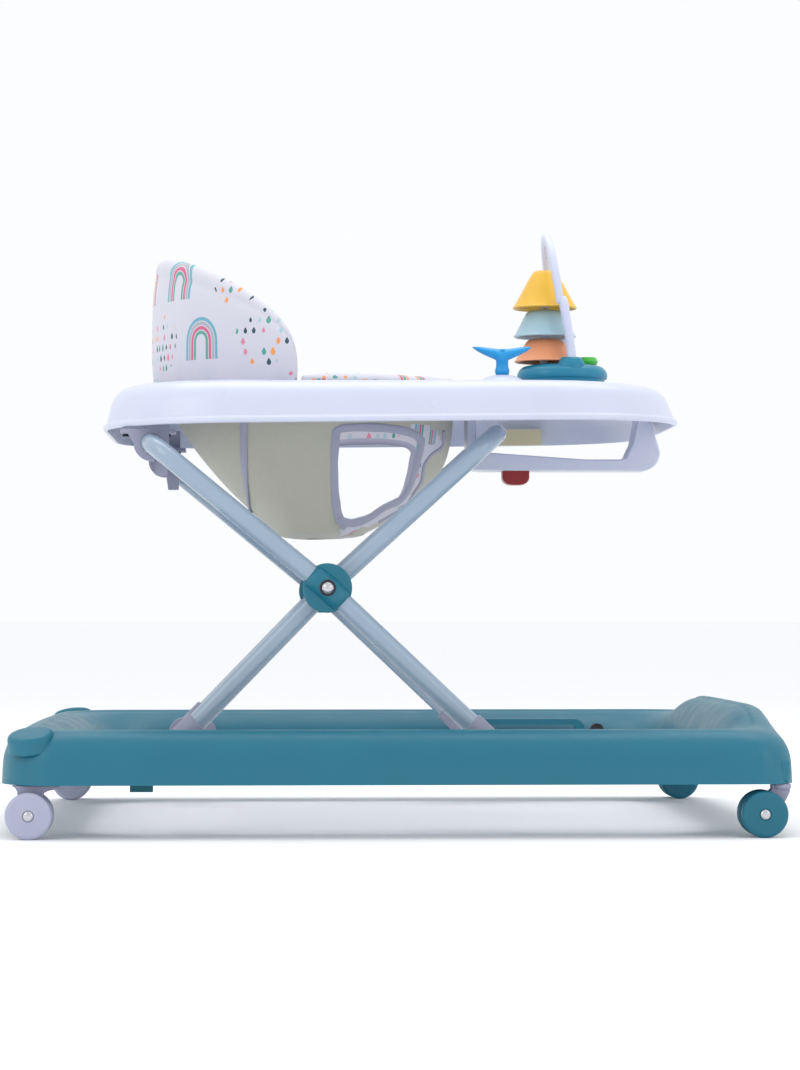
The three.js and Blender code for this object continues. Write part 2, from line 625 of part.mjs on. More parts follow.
function trayShell() {
  const under = TRAY_FLOOR - TRAY_WALL;
  const rings = [
    trayRing(0, 1, (x) => lipAt(x)),
    trayRing(0, 1, (x) => lipAt(x) + 5),
    trayRing(3, 1, (x) => lipAt(x) + 7),
    trayRing(7, 1, TRAY_TOP - 22),
    trayRing(12, 1, TRAY_TOP - 11),
    trayRing(21, 0.4, TRAY_TOP - 4),
    trayRing(33, 0.58, TRAY_TOP - 0.5),
    trayRing(44, 0.68, TRAY_TOP - 1),
    trayRing(52, 0.75, TRAY_FLOOR),
    openingRing(10, TRAY_FLOOR),
    openingRing(6, TRAY_FLOOR + 3),
    openingRing(0, TRAY_FLOOR + 3),
    openingRing(0, TRAY_FLOOR - 14),
    openingRing(TRAY_WALL, TRAY_FLOOR - 14),
    openingRing(TRAY_WALL, under),
    trayRing(52, 0.75, under),
    trayRing(42, 0.62, under + 3),
    trayRing(30, 0.5, under + 3.5),
    trayRing(17, 0.3, TRAY_TOP - 13),
    trayRing(11, 1, TRAY_TOP - 22),
    trayRing(7, 1, (x) => lipAt(x) + 6),
    trayRing(4, 1, (x) => lipAt(x)),
  ];
  return loft(rings, false);
}

const UNDER_TRAY = TRAY_FLOOR - TRAY_WALL - GAP;

// Hangs the upper tube's top bar from the tray: a saddle round the bar, a screwed flange and a guide tab.
function rearTubeBracket(side) {
  const near = side * (UPPER_TUBE_Y - 47);
  const far = side * (UPPER_TUBE_Y - 33);
  const { x, z } = UPPER_TOP;
  const grip = TUBE_RADIUS + 7;
  const roof = z + TUBE_RADIUS + 1;
  const saddle = new THREE.Shape();
  saddle.moveTo(x + grip, roof);
  saddle.lineTo(x - 22, roof);
  saddle.absarc(x, z, grip, Math.PI, 2 * Math.PI, false);
  const bore = new THREE.Path();
  bore.absarc(x, z, TUBE_RADIUS + RUN, 0, 2 * Math.PI, true);
  saddle.holes.push(bore);
  const strap = plateY(saddle, near, far, 8);
  const flange = box([x - 28, Math.min(near, far) - (side > 0 ? 18 : 0), roof - 0.4],
    [x + 22, Math.max(near, far) + (side < 0 ? 18 : 0), roof + 3]);
  const post = box([x - 4, Math.min(near, far), roof + 2], [x + 16, Math.max(near, far), z + BRACKET_POST]);
  const tabShape = outline([[x + 2, z - grip + 1], [x + grip, z - 4], [x + 14.5, z - 29], [x + 4, z - 29]]);
  const tab = plateY(tabShape, near, side * (UPPER_TUBE_Y - 41));
  return joined(strap, flange, post, tab);
}

function bracketScrew(side, dx) {
  const { x, z } = UPPER_TOP;
  const top = z + TUBE_RADIUS + 0.6 - GAP;
  return rodZ(3.2, x + dx, side * (UPPER_TUBE_Y - 56), top - 2, top, 12);
}

// The fixed guide that the lower tube's top bar slides along: rear post, sloping rail and front end block.
function heightRack() {
  const clear = TUBE_RADIUS + 1;
  const start = LOWER_TOP;
  const end = FOLDED.bar;
  const railRear = start.z - clear;
  const railFront = Math.min(end.z, start.z) - clear;
  const slotEnd = end.x + clear + 20;
  const postX = start.x - clear;
  const shape = outline([
    [postX - 9, UNDER_TRAY],
    [postX - 9, RACK_BOTTOM + 9],
    [postX - 2, RACK_BOTTOM + 1],
    [postX + 6, RACK_BOTTOM],
    [RACK_FRONT_X - 16, RACK_BOTTOM],
    [RACK_FRONT_X - 7, RACK_BOTTOM + 3],
    [RACK_FRONT_X - 2, RACK_BOTTOM + 9],
    [RACK_FRONT_X, RACK_BOTTOM + 18],
    [RACK_FRONT_X - 13, UNDER_TRAY - 9],
    [slotEnd + 12, UNDER_TRAY - 9],
    [slotEnd + 8, railFront + 12],
    [slotEnd, railFront],
    [end.x, railFront],
    [start.x, railRear],
    [postX, railRear],
    [postX, UNDER_TRAY],
  ]);
  const rail = plateY(shape, -RACK_HALF_WIDTH, RACK_HALF_WIDTH);
  const pocket = box([BUTTON_X - 13 - RUN, -11 - RUN, RACK_BOTTOM - 1],
    [BUTTON_X + 13 + RUN, 11 + RUN, RACK_BOTTOM + BUTTON_TRAVEL + 3.5]);
  return cut(rail, pocket);
}

function heightButton() {
  const low = RACK_BOTTOM - 13.5;
  const shape = outline([
    [-13, 3], [-13, -8], [-10.5, -12], [-6, -13.5], [6, -13.5], [10.5, -12], [13, -8], [13, 3],
  ]);
  return plateY(shape, -11, 11).translate(BUTTON_X, 0, low + 13.5);
}

function strapAnchor() {
  return box([126, TRAY_HALF_WIDTH - 24, TRAY_TOP - 38.5], [168, TRAY_HALF_WIDTH - 18, TRAY_TOP - 22]);
}

// ---- seat ----
const SEAT_STEPS = 20;

// One level of the seat's hanging bag: its plan outline at a depth.
function bagRing(level, inset) {
  const t = level;
  const rear = mix(OPENING_REAR - 5, 20, t ** 1.5) - inset;
  const front = mix(OPENING_FRONT - 4, 68, t ** 3.2) - inset;
  const half = mix(OPENING_HALF_WIDTH - 5, 74, t ** 1.8) - inset;
  return Array.from({ length: SEAT_STEPS }, (_, i) => {
    const angle = (2 * Math.PI * i) / SEAT_STEPS;
    const reach = Math.cos(angle) > 0 ? front : rear;
    const z = mix(TRAY_FLOOR + 2, SEAT_BOTTOM + 4, t);
    return new THREE.Vector3(SEAT_X + reach * Math.cos(angle), half * Math.sin(angle), z);
  });
}

function seatBag() {
  const levels = [0, 0.2, 0.4, 0.6, 0.78, 0.92, 1];
  const outerRings = levels.map((level) => bagRing(level, 0));
  outerRings.push(bagRing(1, 14).map((point) => point.setZ(SEAT_BOTTOM)));
  const innerRings = levels.map((level) => bagRing(level, SEAT_CLOTH));
  innerRings.forEach((ring, index) => {
    if (index === 0) ring.forEach((point) => point.setZ(point.z + 5));
    if (index === innerRings.length - 1) ring.forEach((point) => point.setZ(point.z + 1));
  });
  const outer = solid(loft(outerRings.reverse(), true));
  const inner = solid(loft(innerRings.reverse(), true));
  let bag = outer.subtract(inner);
  const floor = SEAT_BOTTOM;
  const hole = outline([
    [-52, floor + 96], [-54, floor + 60], [-51, floor + 30], [-46, floor + 15], [-34, floor + 13],
    [-4, floor + 27], [13, floor + 37], [24, floor + 57], [30, floor + 84], [28, floor + 93],
    [0, floor + 99], [-40, floor + 99],
  ]);
  [-1, 1].forEach((side) => {
    bag = bag.subtract(solid(plateY(hole, side * 30, side * 200)));
  });
  return geometryOf(bag);
}

// The padded roll on the front half of the opening's edge.
function seatRim() {
  const section = Array.from({ length: 10 }, (_, i) => {
    const angle = (2 * Math.PI * i) / 10;
    return { out: 13 * Math.cos(angle), up: 6.2 * Math.sin(angle) };
  });
  const z = TRAY_FLOOR + 3 + GAP + 6.2;
  const rings = [];
  const steps = 16;
  for (let step = 0; step <= steps; step += 1) {
    const angle = mix(-88, 88, step / steps);
    const direction = new THREE.Vector3(Math.cos(rad(angle)), Math.sin(rad(angle)), 0);
    rings.push(section.map(({ out, up }) => new THREE.Vector3(
      SEAT_X + (OPENING_FRONT + 5 + out) * direction.x,
      (OPENING_HALF_WIDTH + 5 + out) * direction.y,
      z + up,
    )));
  }
  return loft(rings.reverse(), true);
}

// The padded high back: a C round the rear of the opening, highest in the middle and falling to its two wings.
const backTop = (angle) => mix(BACK_LOW, BACK_HIGH, Math.sqrt(Math.max(Math.cos(angle), 0)));

function backrest() {
  const bottom = TRAY_TOP + GAP + 0.2;
  const rings = [];
  const steps = 24;
  for (let step = 0; step <= steps; step += 1) {
    const angle = rad(mix(-90, 90, step / steps));
    const top = backTop(angle);
    const taper = mix(1, 0.7, Math.abs(step / steps - 0.5) * 2);
    const thick = BACK_THICKNESS * taper;
    const level = (out, z) => new THREE.Vector3(
      SEAT_X - (OPENING_REAR + 11 - out * thick) * Math.cos(angle),
      (OPENING_HALF_WIDTH + 4 - out * thick) * Math.sin(angle),
      z,
    );
    const shoulder = Math.min(18, (top - bottom) * 0.4);
    rings.push([
      level(0, bottom),
      level(1, bottom),
      level(1, top - shoulder),
      level(0.85, top - shoulder * 0.3),
      level(0.5, top),
      level(0.15, top - shoulder * 0.2),
      level(0, top - shoulder * 0.8),
    ]);
  }
  return loft(rings.reverse(), true);
}

// ---- toys ----
function toyBase() {
  const low = TRAY_FLOOR + GAP;
  const profile = [
    [0, low], [TOY_RADIUS - 5, low], [TOY_RADIUS - 3, TOY_TOP - 16], [TOY_RADIUS, TOY_TOP - 13],
    [TOY_RADIUS, TOY_TOP - 8], [TOY_RADIUS - 5, TOY_TOP - 3], [TOY_RADIUS - 16, TOY_TOP - 1], [0, TOY_TOP - 1],
  ];
  const disc = lathe(profile, 28).translate(TOY_X, 0, 0);
  return cut(disc, rodZ(ROD_RADIUS + GAP, ROD_X, 0, TOY_TOP - 14, TOY_TOP + 10));
}

// A lathe profile of radius and height, turned about +Z.
function lathe(profile, segments) {
  const geometry = new THREE.LatheGeometry(profile.map(([r, z]) => new THREE.Vector2(r, z)), segments);
  return geometry.rotateX(Math.PI / 2);
}

const CUPS = [
  { name: "cup_bottom", material: ORANGE, rim: TOY_TOP + 1.5, top: TOY_TOP + 24, radius: 30, neck: 18 },
  { name: "cup_middle", material: MINT, rim: TOY_TOP + 26, top: TOY_TOP + 52, radius: 30.5, neck: 18 },
  { name: "cup_top", material: YELLOW, rim: TOY_TOP + 54, top: TOY_TOP + 91, radius: 31.5, neck: 12, closed: true },
];

// A bell cup with its mouth down and a bore for the rod, which is blind in a closed cup.
function bellCup({ rim, top, radius, neck, closed }) {
  const bore = ROD_RADIUS + RUN;
  const rise = top - rim;
  const middle = mix(neck, radius, 0.45);
  const outside = [
    [neck, top], [middle, top - rise * 0.4], [radius - 2, rim + 3], [radius, rim], [radius - CUP_WALL, rim],
    [radius - CUP_WALL - 3, rim + 4], [middle - CUP_WALL, top - rise * 0.42 - 1],
  ];
  const profile = closed
    ? [[0, top - CUP_WALL], [0, top], ...outside, [bore + 3, top - SPINDLE_HOLD], [bore, top - SPINDLE_HOLD],
      [bore, top - CUP_WALL], [0, top - CUP_WALL]]
    : [[bore, top - CUP_WALL], [bore, top], ...outside, [neck - CUP_WALL, top - CUP_WALL],
      [bore, top - CUP_WALL]];
  return lathe(profile.reverse(), 20);
}

function stackRod() {
  const low = TOY_TOP - 13;
  const high = CUPS[2].top - CUP_WALL - GAP;
  return lathe([[0, low], [ROD_RADIUS, low], [ROD_RADIUS, high - 2], [ROD_RADIUS - 1.5, high], [0, high]], 20)
    .translate(ROD_X, 0, 0);
}

const ARCH_FOOT = { x: 178, y: 39, z: TOY_TOP - 1 + GAP };

// The upright hoop over the cups: feet in front of them, leaning back to its top.
function arch() {
  const topX = ROD_X + 1;
  const points = [];
  const steps = 22;
  const shoulderZ = ARCH_TOP - 46;
  for (let step = 0; step <= steps; step += 1) {
    const angle = mix(0, Math.PI, step / steps);
    const y = ARCH_FOOT.y * Math.cos(angle);
    const z = shoulderZ + 42 * Math.sin(angle);
    points.push([y, z]);
  }
  const all = [[ARCH_FOOT.y - 8, ARCH_FOOT.z], ...points, [-(ARCH_FOOT.y - 8), ARCH_FOOT.z]];
  const place = ([y, z]) => {
    const share = (z - ARCH_FOOT.z) / (ARCH_TOP - ARCH_FOOT.z);
    return new THREE.Vector3(mix(ARCH_FOOT.x, topX, share ** 0.8), y, z);
  };
  const section = outline([[-3.6, -5.5], [3.6, -5.5], [4.6, 0], [3.6, 5.5], [-3.6, 5.5], [-4.6, 0]]);
  const options = { steps: all.length - 1, extrudePath: new Route(all.map(place)), bevelEnabled: false };
  const hoop = solid(new THREE.ExtrudeGeometry(section, options));
  const floor = box([ARCH_FOOT.x - 60, -80, ARCH_FOOT.z - 40], [ARCH_FOOT.x + 60, 80, ARCH_FOOT.z]);
  return geometryOf(hoop.subtract(solid(floor)));
}

function leafRing() {
  const low = TOY_TOP - 1 + GAP;
  const profile = [[5, low], [9, low], [10, low + 3], [8, low + 7], [5, low + 6], [5, low]];
  return lathe(profile, 20).translate(ARCH_FOOT.x + 18, 0, 0);
}

const WHALE = { x: 104, y: -(TRAY_HALF_WIDTH - 113), z: TRAY_TOP + 14, ball: 7 };

function whaleDome() {
  const low = TRAY_FLOOR + GAP;
  const dome = lathe([[0, low], [24, low], [23, low + 7], [17, low + 13], [9, low + 16], [0, low + 16.5]], 24);
  const socket = new THREE.SphereGeometry(WHALE.ball + RUN, 12, 8).translate(0, 0, WHALE.z);
  return cut(dome, socket).translate(WHALE.x, WHALE.y, 0);
}

// The tail: a ball foot, a stem and two flukes that sweep up to their tips.
function whaleTail() {
  const ball = new THREE.SphereGeometry(WHALE.ball, 12, 8).translate(0, 0, WHALE.z);
  const stem = rodZ(5.5, 0, 0, WHALE.z, WHALE.z + 18, 16);
  const flukes = new THREE.Shape();
  flukes.moveTo(0, WHALE.z + 12);
  flukes.bezierCurveTo(8, WHALE.z + 15, 14, WHALE.z + 14, 28, WHALE.z + 24);
  flukes.bezierCurveTo(16, WHALE.z + 25, 8, WHALE.z + 24, 0, WHALE.z + 20);
  flukes.bezierCurveTo(-8, WHALE.z + 24, -16, WHALE.z + 25, -28, WHALE.z + 24);
  flukes.bezierCurveTo(-14, WHALE.z + 14, -8, WHALE.z + 15, 0, WHALE.z + 12);
  const tail = plateY(flukes, -6, 6, 6);
  return geometryOf(solid(ball).add(solid(stem)).add(solid(tail))).translate(WHALE.x, WHALE.y, 0);
}

// ---- assembly ----
const group = new THREE.Group();
const SIDES = { right: -1, left: 1 };

function place(parent, name, geometry, material, position = [0, 0, 0]) {
  const mesh = new THREE.Mesh(geometry, material);
  mesh.name = name;
  mesh.position.set(...position);
  parent.add(mesh);
  return mesh;
}

place(group, "base_shell", baseShell(), TEAL);
place(group, "lower_tube", lowerTube(), PAINT);
place(group, "upper_tube", upperTube(), PAINT);

Object.entries(SIDES).forEach(([name, side]) => {
  place(group, `rear_foot_bracket_${name}`, rearFootBracket(side), GREY);
  place(group, `front_foot_track_${name}`, frontFootTrack(side), TEAL);
  place(group, `track_bumper_${name}`, trackBumper(side), BLACK);
  place(group, `stopper_${name}`, stopper(side), DARK_TEAL);

  const rear = new THREE.Group();
  rear.position.set(REAR_AXLE_X, side * WHEEL_Y, WHEEL_RADIUS);
  place(rear, `rear_wheel_bracket_${name}`, rearWheelBracket(), GREY);
  place(rear, `rear_wheel_outer_${name}`, wheelDisc(side), GREY, [0, side * DISC_OFFSET, 0]);
  place(rear, `rear_wheel_inner_${name}`, wheelDisc(-side), GREY, [0, -side * DISC_OFFSET, 0]);
  place(rear, `rear_axle_${name}`, axle(side), STEEL);
  group.add(rear);

  const caster = new THREE.Group();
  caster.position.set(CASTER_X - CASTER_TRAIL, side * WHEEL_Y, WHEEL_RADIUS);
  place(caster, `caster_fork_${name}`, casterFork(), GREY);
  place(caster, `front_wheel_outer_${name}`, wheelDisc(side), TEAL, [0, side * DISC_OFFSET, 0]);
  place(caster, `front_wheel_inner_${name}`, wheelDisc(-side), TEAL, [0, -side * DISC_OFFSET, 0]);
  place(caster, `front_axle_${name}`, axle(side), STEEL);
  group.add(caster);

  place(group, `rear_knuckle_${name}`, knuckle(side, LOWER_FOOT, LOWER_TUBE_Y, 22, 0), GREY);
  place(group, `front_knuckle_${name}`, knuckle(side, UPPER_FOOT, UPPER_TUBE_Y, 20, RAIL_INNER_Y - 1.5), GREY);
  place(group, `hub_cap_${name}`, outerCap(side), TEAL);
  place(group, `hub_inner_cap_${name}`, innerCap(side), TEAL);
  place(group, `hub_rivet_${name}`, hubRivet(side), STEEL);
  place(group, `rear_tube_bracket_${name}`, rearTubeBracket(side), GREY);
  place(group, `bracket_screw_rear_${name}`, bracketScrew(side, -24), BLACK);
  place(group, `bracket_screw_front_${name}`, bracketScrew(side, 14), BLACK);
});

place(group, "tray_shell", trayShell(), WHITE);
place(group, "height_rack", heightRack(), WHITE);
place(group, "height_button", heightButton(), RED);
place(group, "strap_anchor", strapAnchor(), BEIGE);
place(group, "seat_bag", seatBag(), CREAM);
place(group, "seat_rim", seatRim(), CREAM);
place(group, "backrest", backrest(), CREAM);

place(group, "toy_base", toyBase(), TEAL_TOY);
place(group, "leaf_ring", leafRing(), GREEN);
place(group, "stack_rod", stackRod(), WHITE);
place(group, "toy_arch", arch(), WHITE);
CUPS.forEach((cup) => place(group, cup.name, bellCup(cup), cup.material, [ROD_X, 0, 0]));
place(group, "whale_dome", whaleDome(), WHITE);
place(group, "whale_tail", whaleTail(), BLUE);

export default group;
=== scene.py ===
"""The looks of a folding baby walker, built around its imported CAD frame.
Sizes below are millimetres in the walker's own frame: +X its front, +Y its left, +Z up. Places come from the
frame's boxes, and every piece rides on the CAD body that carries it."""
import json
from functools import partial
from math import acos, copysign, cos, exp, pi, radians, sin, sqrt

import bmesh
import bpy
from mathutils import Matrix, Vector, noise

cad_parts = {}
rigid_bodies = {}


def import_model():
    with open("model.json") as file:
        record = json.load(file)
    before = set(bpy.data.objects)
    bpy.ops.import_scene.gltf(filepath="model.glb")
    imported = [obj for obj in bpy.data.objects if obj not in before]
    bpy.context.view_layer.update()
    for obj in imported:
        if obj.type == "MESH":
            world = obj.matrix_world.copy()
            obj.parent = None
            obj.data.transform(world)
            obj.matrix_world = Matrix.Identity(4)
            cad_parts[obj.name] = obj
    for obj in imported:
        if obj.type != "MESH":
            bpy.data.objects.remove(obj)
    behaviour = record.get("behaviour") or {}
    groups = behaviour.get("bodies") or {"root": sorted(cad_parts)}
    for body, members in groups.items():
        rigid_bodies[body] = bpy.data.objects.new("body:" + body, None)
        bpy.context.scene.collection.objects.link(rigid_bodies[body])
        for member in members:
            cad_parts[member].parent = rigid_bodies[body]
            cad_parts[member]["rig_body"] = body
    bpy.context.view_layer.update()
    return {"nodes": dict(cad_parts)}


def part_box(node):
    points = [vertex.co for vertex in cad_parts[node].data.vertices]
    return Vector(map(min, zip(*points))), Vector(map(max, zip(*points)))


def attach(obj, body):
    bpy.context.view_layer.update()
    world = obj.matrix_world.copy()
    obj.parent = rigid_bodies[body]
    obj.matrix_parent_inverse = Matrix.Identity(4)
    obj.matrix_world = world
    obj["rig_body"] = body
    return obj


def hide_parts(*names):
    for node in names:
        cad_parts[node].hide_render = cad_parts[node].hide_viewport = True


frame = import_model()

MM = 0.001
SIDES = {"right": -1, "left": 1}
AXIS = 0.01  # the radius that closes a turned piece on its axis


def box(node):
    """A CAD node's lowest and highest corners, in millimetres."""
    low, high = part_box(node)
    return low / MM, high / MM


def centre(node):
    low, high = box(node)
    return (low + high) / 2


def mix(a, b, t):
    return a + (b - a) * t


def around(steps):
    """The angles of the points of a circle."""
    return [2 * pi * i / steps for i in range(steps)]


def ease(low, high, x):
    """0 below low, 1 above high, and a smooth rise between them."""
    t = min(max((x - low) / (high - low), 0), 1)
    return t * t * (3 - 2 * t)


# ---- meshes ----
def build(name, parts, material, body, replaces=(), level=0, sharp=40, bevel=0, more=()):
    """One object out of one or more parts: vertices and faces, with uv and creases where a part has them."""
    work = bmesh.new()
    uv_layer = work.loops.layers.uv.new("metric")
    crease_layer = work.edges.layers.float.new("crease_edge")
    for part in parts:
        verts = [work.verts.new(Vector(v) * MM) for v in part["verts"]]
        work.verts.ensure_lookup_table()
        for index, face in enumerate(part["faces"]):
            made = work.faces.new([verts[i] for i in face])
            made.material_index = part.get("slots", {}).get(index, part.get("slot", 0))
            if part.get("uv"):
                for loop, (row, col) in zip(made.loops, part["corners"][index]):
                    loop[uv_layer].uv = part["uv"](row, col)
        for first, second, amount in part.get("creases", ()):
            edge = work.edges.get((verts[first], verts[second]))
            if edge:
                edge[crease_layer] = amount
    bmesh.ops.recalc_face_normals(work, faces=work.faces)
    mesh = bpy.data.meshes.new(name)
    work.to_mesh(mesh)
    work.free()
    piece = bpy.data.objects.new(name, mesh)
    bpy.context.scene.collection.objects.link(piece)
    for one in (material, *more):
        mesh.materials.append(one)
    mesh.shade_smooth()
    if sharp:
        mesh.set_sharp_from_angle(angle=radians(sharp))
    if bevel:
        rounding = piece.modifiers.new("rounding", "BEVEL")
        rounding.width = bevel * MM
        rounding.segments = 3
        rounding.limit_method = "ANGLE"
        rounding.angle_limit = radians(30)
        rounding.harden_normals = True
    if level:
        smoothing = piece.modifiers.new("smoothing", "SUBSURF")
        smoothing.levels = level
        smoothing.render_levels = level
    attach(piece, body)
    if replaces:
        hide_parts(*replaces)
    return piece


def loft(rings, wrap=False, caps=True, uv=None, creased=()):
    """A skin through rings of points. wrap joins the last ring to the first; caps fills the two end rings."""
    count = len(rings[0])
    faces, corners = [], []
    bands = len(rings) if wrap else len(rings) - 1
    for row in range(bands):
        here, there = row * count, ((row + 1) % len(rings)) * count
        for col in range(count):
            after = (col + 1) % count
            faces.append((here + col, here + after, there + after, there + col))
            corners.append([(row, col), (row, col + 1), (row + 1, col + 1), (row + 1, col)])
    if caps and not wrap:
        for row in (0, len(rings) - 1):
            faces.append(tuple(row * count + col for col in range(count)))
            corners.append([(row, col) for col in range(count)])
    creases = [(row * count + col, row * count + (col + 1) % count, amount)
               for row, amount in creased for col in range(count)]
    verts = [point for ring in rings for point in ring]
    return {"verts": verts, "faces": faces, "corners": corners, "uv": uv, "creases": creases}


def lathe(profile, at, axis="Z", segments=64, stretch=(1, 1), way=1):
    """A profile of (radius, height) turned about an axis through a point; way -1 turns it over."""
    rings = []
    for radius, height in profile:
        ring = []
        for angle in around(segments):
            a, b = radius * cos(angle) * stretch[0], radius * sin(angle) * stretch[1]
            ring.append(Vector((a, b, way * height) if axis == "Z" else (a, way * height, b)))
        rings.append([Vector(at) + point for point in ring])
    return loft(rings)


def rounded(profile, steps=4, closed=False):
    """A smooth line through the points of a profile: it keeps its two ends, or goes round."""
    points = [Vector(p) for p in profile]
    count = len(points)
    smooth = []
    for i in range(count if closed else count - 1):
        near = [(i + k) % count if closed else min(max(i + k, 0), count - 1) for k in (-1, 0, 1, 2)]
        before, a, b, after = (points[k] for k in near)
        for step in range(steps):
            t = step / steps
            smooth.append(0.5 * ((2 * a) + (b - before) * t + (2 * before - 5 * a + 4 * b - after) * t * t
                                 + (3 * a - before - 3 * b + after) * t ** 3))
    return smooth if closed else smooth + [points[-1]]


def turned(profile, steps=3, least=AXIS):
    """A rounded profile for the lathe that never comes nearer its axis than least."""
    return [(max(p[0], least), p[1]) for p in rounded(profile, steps)]


def sweep(path, section, up):
    """A section of (across, up) points carried along a path; section may be a function of the step."""
    rings = []
    for index, point in enumerate(path):
        ahead = path[min(index + 1, len(path) - 1)] - path[max(index - 1, 0)]
        ahead.normalize()
        across = ahead.cross(up).normalized()
        lift = across.cross(ahead).normalized()
        outline = section(index) if callable(section) else section
        rings.append([point + across * a + lift * b for a, b in outline])
    return loft(rings)


def circle(radius, steps):
    return [(radius * cos(a), radius * sin(a)) for a in around(steps)]


def tube(path, radius, steps):
    """A round tube along a path that bends in any direction, without a twist."""
    lift = Vector((0, 1, 0))
    rings = []
    for index, point in enumerate(path):
        ahead = (path[min(index + 1, len(path) - 1)] - path[max(index - 1, 0)]).normalized()
        lift = lift - ahead * lift.dot(ahead)
        if lift.length < 1e-3:
            lift = Vector((1, 0, 0)) - ahead * ahead.x
        lift.normalize()
        across = ahead.cross(lift)
        rings.append([point + across * a + lift * b for a, b in circle(radius, steps)])
    return loft(rings)


def swelling_tube(path, sizes, steps):
    """A tube with its own radius at each point of its path."""
    part = tube(path, 1, steps)
    for index, (point, size) in enumerate(zip(path, sizes)):
        for vert in range(index * steps, (index + 1) * steps):
            part["verts"][vert] = point + (part["verts"][vert] - point) * size
    return part


def plate(outline, y0, y1):
    """An outline in the XZ plane, made thick along Y."""
    count = len(outline)
    verts = [(x, y, z) for y in (y0, y1) for x, z in outline]
    faces = [(i, (i + 1) % count, count + (i + 1) % count, count + i) for i in range(count)]
    faces += [tuple(range(count)), tuple(range(count, 2 * count))]
    return {"verts": verts, "faces": faces}


def arc(x, z, radius, start, end, steps):
    """Points on a circle in the XZ plane, from one angle to another in degrees."""
    return [(x + radius * cos(radians(mix(start, end, i / steps))),
             z + radius * sin(radians(mix(start, end, i / steps)))) for i in range(steps + 1)]


# ---- materials ----
def paint(tree, kind, inputs=None, **settings):
    """A shader node with its inputs set, or linked where the value is another node's output."""
    made = tree.nodes.new("ShaderNode" + kind)
    for key, value in settings.items():
        setattr(made, key, value)
    for key, value in (inputs or {}).items():
        if isinstance(value, bpy.types.NodeSocket):
            tree.links.new(value, made.inputs[key])
        else:
            made.inputs[key].default_value = value
    return made


def maths(tree, operation, *values):
    return paint(tree, "Math", dict(enumerate(values)), operation=operation).outputs[0]


def noise_of(tree, place, scale, detail):
    return paint(tree, "TexNoise", {"Vector": place, "Scale": scale, "Detail": detail}).outputs["Fac"]


def spread(tree, value, low, high, to_low, to_high):
    """Maps a value's range from low and high to two others, and no further."""
    return paint(tree, "MapRange", {0: value, 1: low, 2: high, 3: to_low, 4: to_high}).outputs[0]


def bump(tree, shader, height, strength, depth):
    """Relief of a depth in millimetres."""
    made = paint(tree, "Bump", {"Strength": strength, "Distance": depth * MM, "Height": height})
    feed(shader, "Normal", made.outputs[0])


def feed(shader, key, value):
    shader.id_data.links.new(value, shader.inputs[key])


def linear(hex_colour):
    """An sRGB colour such as "1f8a9c" as linear values."""
    values = [int(hex_colour[i:i + 2], 16) / 255 for i in (0, 2, 4)]
    return [v / 12.92 if v < 0.04045 else ((v + 0.055) / 1.055) ** 2.4 for v in values] + [1]


def blend(tree, share, first, second):
    """One colour where share is 0 and another where it is 1."""
    return paint(tree, "Mix", {0: share, 6: first, 7: second}, data_type="RGBA").outputs[2]


def surface(name, **uniform):
    material = bpy.data.materials.new(name)
    material.use_nodes = True
    tree = material.node_tree
    shader = tree.nodes["Principled BSDF"]
    for key, value in uniform.items():
        shader.inputs[key.replace("_", " ")].default_value = value
    return material, tree, shader


def tone(colour, factor):
    return [min(c * factor, 1) for c in colour[:3]] + [1]


def moulded(name, colour, roughness=0.4, grain=0.02, worn=0.25, **uniform):
    """Moulded plastic or paint: slight mottling, a fine grain and paler rubbed edges."""
    material, tree, shader = surface(name, **uniform)
    base = linear(colour)
    place = paint(tree, "TexCoord").outputs["Object"]
    cloud = noise_of(tree, place, 14, 3)
    mottled = blend(tree, cloud, tone(base, 0.93), tone(base, 1.06))
    edge = paint(tree, "NewGeometry").outputs["Pointiness"]
    rubbed = spread(tree, edge, 0.52, 0.62, 0.0, worn)
    feed(shader, "Base Color", blend(tree, rubbed, mottled, tone(base, 1.5)))
    rough = spread(tree, noise_of(tree, place, 40, 4), 0.3, 0.7, roughness - 0.05, roughness + 0.06)
    feed(shader, "Roughness", rough)
    bump(tree, shader, noise_of(tree, place, 1100, 2), 0.35, grain)
    return material


def brushed(name, colour, roughness):
    """Turned or pressed steel with fine scratches."""
    material, tree, shader = surface(name, Metallic=1.0)
    base = linear(colour)
    place = paint(tree, "TexCoord").outputs["Object"]
    stretched = paint(tree, "Mapping", {"Vector": place, "Scale": (1, 1, 14)}).outputs[0]
    scratch = noise_of(tree, stretched, 300, 3)
    feed(shader, "Base Color", blend(tree, scratch, tone(base, 0.8), tone(base, 1.1)))
    feed(shader, "Roughness", spread(tree, scratch, 0, 1, roughness - 0.06, roughness + 0.1))
    return material


def weave(tree, shader, place, pitch, depth):
    """A plain weave of two crossing threads, with a little slub."""
    calc = partial(maths, tree)
    split = paint(tree, "SeparateXYZ", {0: place})
    turns = 2 * pi / (pitch * MM)
    across, along = (calc("SINE", calc("MULTIPLY", split.outputs[i], turns)) for i in (0, 1))
    crossed = calc("MULTIPLY", across, along)
    slub = noise_of(tree, place, 160, 3)
    bump(tree, shader, calc("ADD", crossed, calc("MULTIPLY", slub, 2.5)), 0.6, depth)
    return crossed, slub


